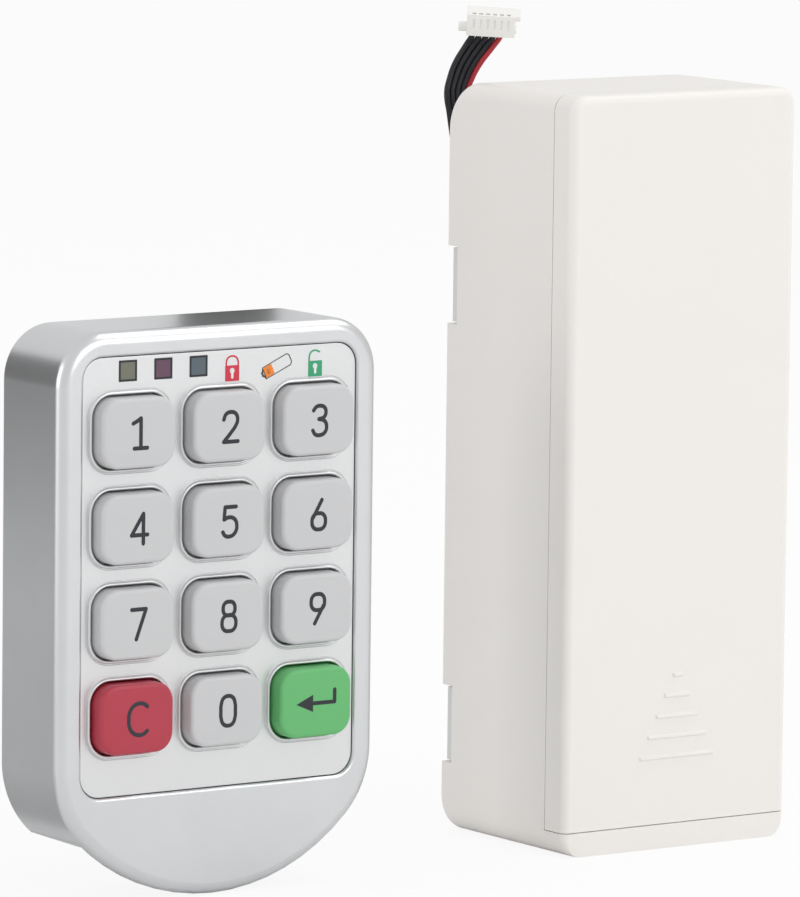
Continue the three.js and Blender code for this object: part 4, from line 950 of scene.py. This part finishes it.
# Contacts: stamped leaves of nickel plated spring steel, held in slots of the tray. A coil is
# wound on the leaf that meets the flat end of each stack.
leaf_thickness, leaf_round = 0.4, 0.08
spring_wire = 0.4
coil_turns, coil_steps, coil_height = 3.5, 84, 5.0
coil_reach, coil_taper = 3.3, 1.2
coils = {"spring_contact": (-cell_x, 7.7, 1), "bridge_contact": (cell_x, 102.5, -1)}
dressed(can_steel, "button_contact")
for node, (x, base, up) in coils.items():
    bm = bmesh.new()
    low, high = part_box(node)
    foot = low[2] / mm if up > 0 else high[2] / mm - leaf_thickness
    block(bm, (low[0] / mm - box_place.x, low[1] / mm - box_place.y, foot),
          (high[0] / mm - box_place.x, high[1] / mm - box_place.y, foot + leaf_thickness),
          leaf_round)
    curve = round_line("coil", spring_wire / 2, 2)
    spline = curve.splines.new("POLY")
    spline.points.add(coil_steps)
    for i, knot in enumerate(spline.points):
        share = i / coil_steps
        reach = coil_reach - coil_taper * share
        angle = 2 * pi * coil_turns * share
        knot.co = (x + reach * cos(angle), cell_y + reach * sin(angle),
                   base + up * coil_height * share, 1)
    drawn = bpy.data.objects.new("coil", curve)
    mesh = bpy.data.meshes.new_from_object(drawn)
    bm.from_mesh(mesh)
    bpy.data.objects.remove(drawn)
    bpy.data.curves.remove(curve)
    bpy.data.meshes.remove(mesh)
    fitted(piece_of(bm, f"coiled_{node}", box_place), "lock", can_steel, [node])


# Bolt and drive: a ground steel bolt with a toothed arm, moved by a brass gear on the shaft of a
# small geared motor.
ground_steel = surface("ground steel", (0.55, 0.56, 0.58), 0.25, 1.0, grain=0.15, depth=0.012,
                       cloud=0.06)
dressed(ground_steel, "deadbolt", "drive_shaft", "motor_can")
dressed(turned_brass, "drive_gear", "gearbox")


# Mounting plate: pressed sheet steel with a pale coat, screwed to the door. The box hooks onto its
# four ears, whose ends show in the notches at the box's sides.
matt_plate = surface("pale coated steel", (0.70, 0.705, 0.70), 0.5, 0.1, grain=0.2, depth=0.01,
                     cloud=0.05)
dressed(matt_plate, "mounting_plate")


# Grommet: a ring of black moulded rubber, pushed into the hole where the lead leaves the back of
# the box. It keeps the wires off the edge of the plastic.
rubber = surface("black rubber", (0.02, 0.02, 0.022), 0.6, grain=0.25, depth=0.02, cloud=0.1)
dressed(rubber, "cable_grommet")


# Floor and light: a pale floor that keeps the soft shadow, and a white surround. Three softboxes
# stand in front, above and to the left, and grey cards give the metal something dark to show.
floor_reach, floor_tone, floor_glow = 4000, 0.85, 0.88
room_light = 0.78
lock_middle = (0, 0, 0.05)
bm = bmesh.new()
bmesh.ops.create_grid(bm, x_segments=1, y_segments=1, size=floor_reach)
floor = piece_of(bm, "floor")
paper = bpy.data.materials.new("pale floor")
paper.use_nodes = True
nodes, links = paper.node_tree.nodes, paper.node_tree.links
matt = nodes["Principled BSDF"]
matt.inputs["Base Color"].default_value = (floor_tone, floor_tone, floor_tone, 1)
matt.inputs["Roughness"].default_value = 0.9
glow = nodes.new("ShaderNodeEmission")
glow.inputs["Color"].default_value = (1, 1, 1, 1)
glow.inputs["Strength"].default_value = 1
path = nodes.new("ShaderNodeLightPath")
seen = nodes.new("ShaderNodeMath")
seen.operation = "MULTIPLY"
seen.inputs[1].default_value = floor_glow
mix = nodes.new("ShaderNodeMixShader")
links.new(path.outputs["Is Camera Ray"], seen.inputs[0])
links.new(seen.outputs[0], mix.inputs["Fac"])
links.new(matt.outputs[0], mix.inputs[1])
links.new(glow.outputs[0], mix.inputs[2])
links.new(mix.outputs[0], nodes["Material Output"].inputs["Surface"])
floor.data.materials.append(paper)

world = bpy.data.worlds.new("white room")
bpy.context.scene.world = world
world.use_nodes = True
nodes, links = world.node_tree.nodes, world.node_tree.links
sky = nodes["Background"]
sky.inputs["Color"].default_value = (1, 1, 1, 1)
sky.inputs["Strength"].default_value = room_light
bright = nodes.new("ShaderNodeBackground")
bright.inputs["Color"].default_value = (1, 1, 1, 1)
path = nodes.new("ShaderNodeLightPath")
either = nodes.new("ShaderNodeMath")
either.operation = "MAXIMUM"
mix = nodes.new("ShaderNodeMixShader")
links.new(path.outputs["Is Camera Ray"], either.inputs[0])
links.new(path.outputs["Is Transmission Ray"], either.inputs[1])
links.new(either.outputs[0], mix.inputs["Fac"])
links.new(sky.outputs[0], mix.inputs[1])
links.new(bright.outputs[0], mix.inputs[2])
links.new(mix.outputs[0], nodes["World Output"].inputs["Surface"])


def softbox(name, place, width, height, power):
    """A rectangular lamp in watts that looks at the lock. Places from here on are in metres."""
    lamp = bpy.data.lights.new(name, "AREA")
    lamp.shape = "RECTANGLE"
    lamp.size, lamp.size_y = width, height
    lamp.energy = power
    stand = bpy.data.objects.new(name, lamp)
    bpy.context.scene.collection.objects.link(stand)
    stand.matrix_world = facing(place, Vector(lock_middle) - Vector(place))


softbox("front_softbox", (0.35, -1.1, 0.55), 0.9, 0.7, 3.5)
softbox("top_softbox", (0.6, -0.15, 0.95), 0.6, 0.6, 2.2)
softbox("left_softbox", (-1.3, 0.35, 0.35), 0.7, 0.9, 3.2)


def dark_card(name, place, aim, width, height, tone):
    """A matt grey card that the camera doesn't see and that only reflections show."""
    bm = bmesh.new()
    bmesh.ops.create_grid(bm, x_segments=1, y_segments=1, size=0.5)
    bmesh.ops.scale(bm, verts=bm.verts, vec=(width / mm, height / mm, 1))
    card = piece_of(bm, name)
    card.matrix_world = facing(place, Vector(aim) - Vector(place), "Z")
    felt = bpy.data.materials.new(name)
    felt.use_nodes = True
    cloth = felt.node_tree.nodes["Principled BSDF"]
    cloth.inputs["Base Color"].default_value = (tone, tone, tone, 1)
    cloth.inputs["Roughness"].default_value = 1
    card.data.materials.append(felt)
    card.visible_camera = False
    card.visible_diffuse = False
    card.visible_shadow = False


dark_card("left_card", (-0.30, 0.30, 0.10), (-0.06, 0, 0.05), 0.34, 0.30, 0.12)
dark_card("floor_card", (-0.17, 0.10, 0.001), (-0.17, 0.10, 1), 0.22, 0.2, 0.5)
dark_card("back_card", (0.0035, 0.045, 0.0985), (0.0035, 0, 0.0985), 0.017, 0.041, 0.02)
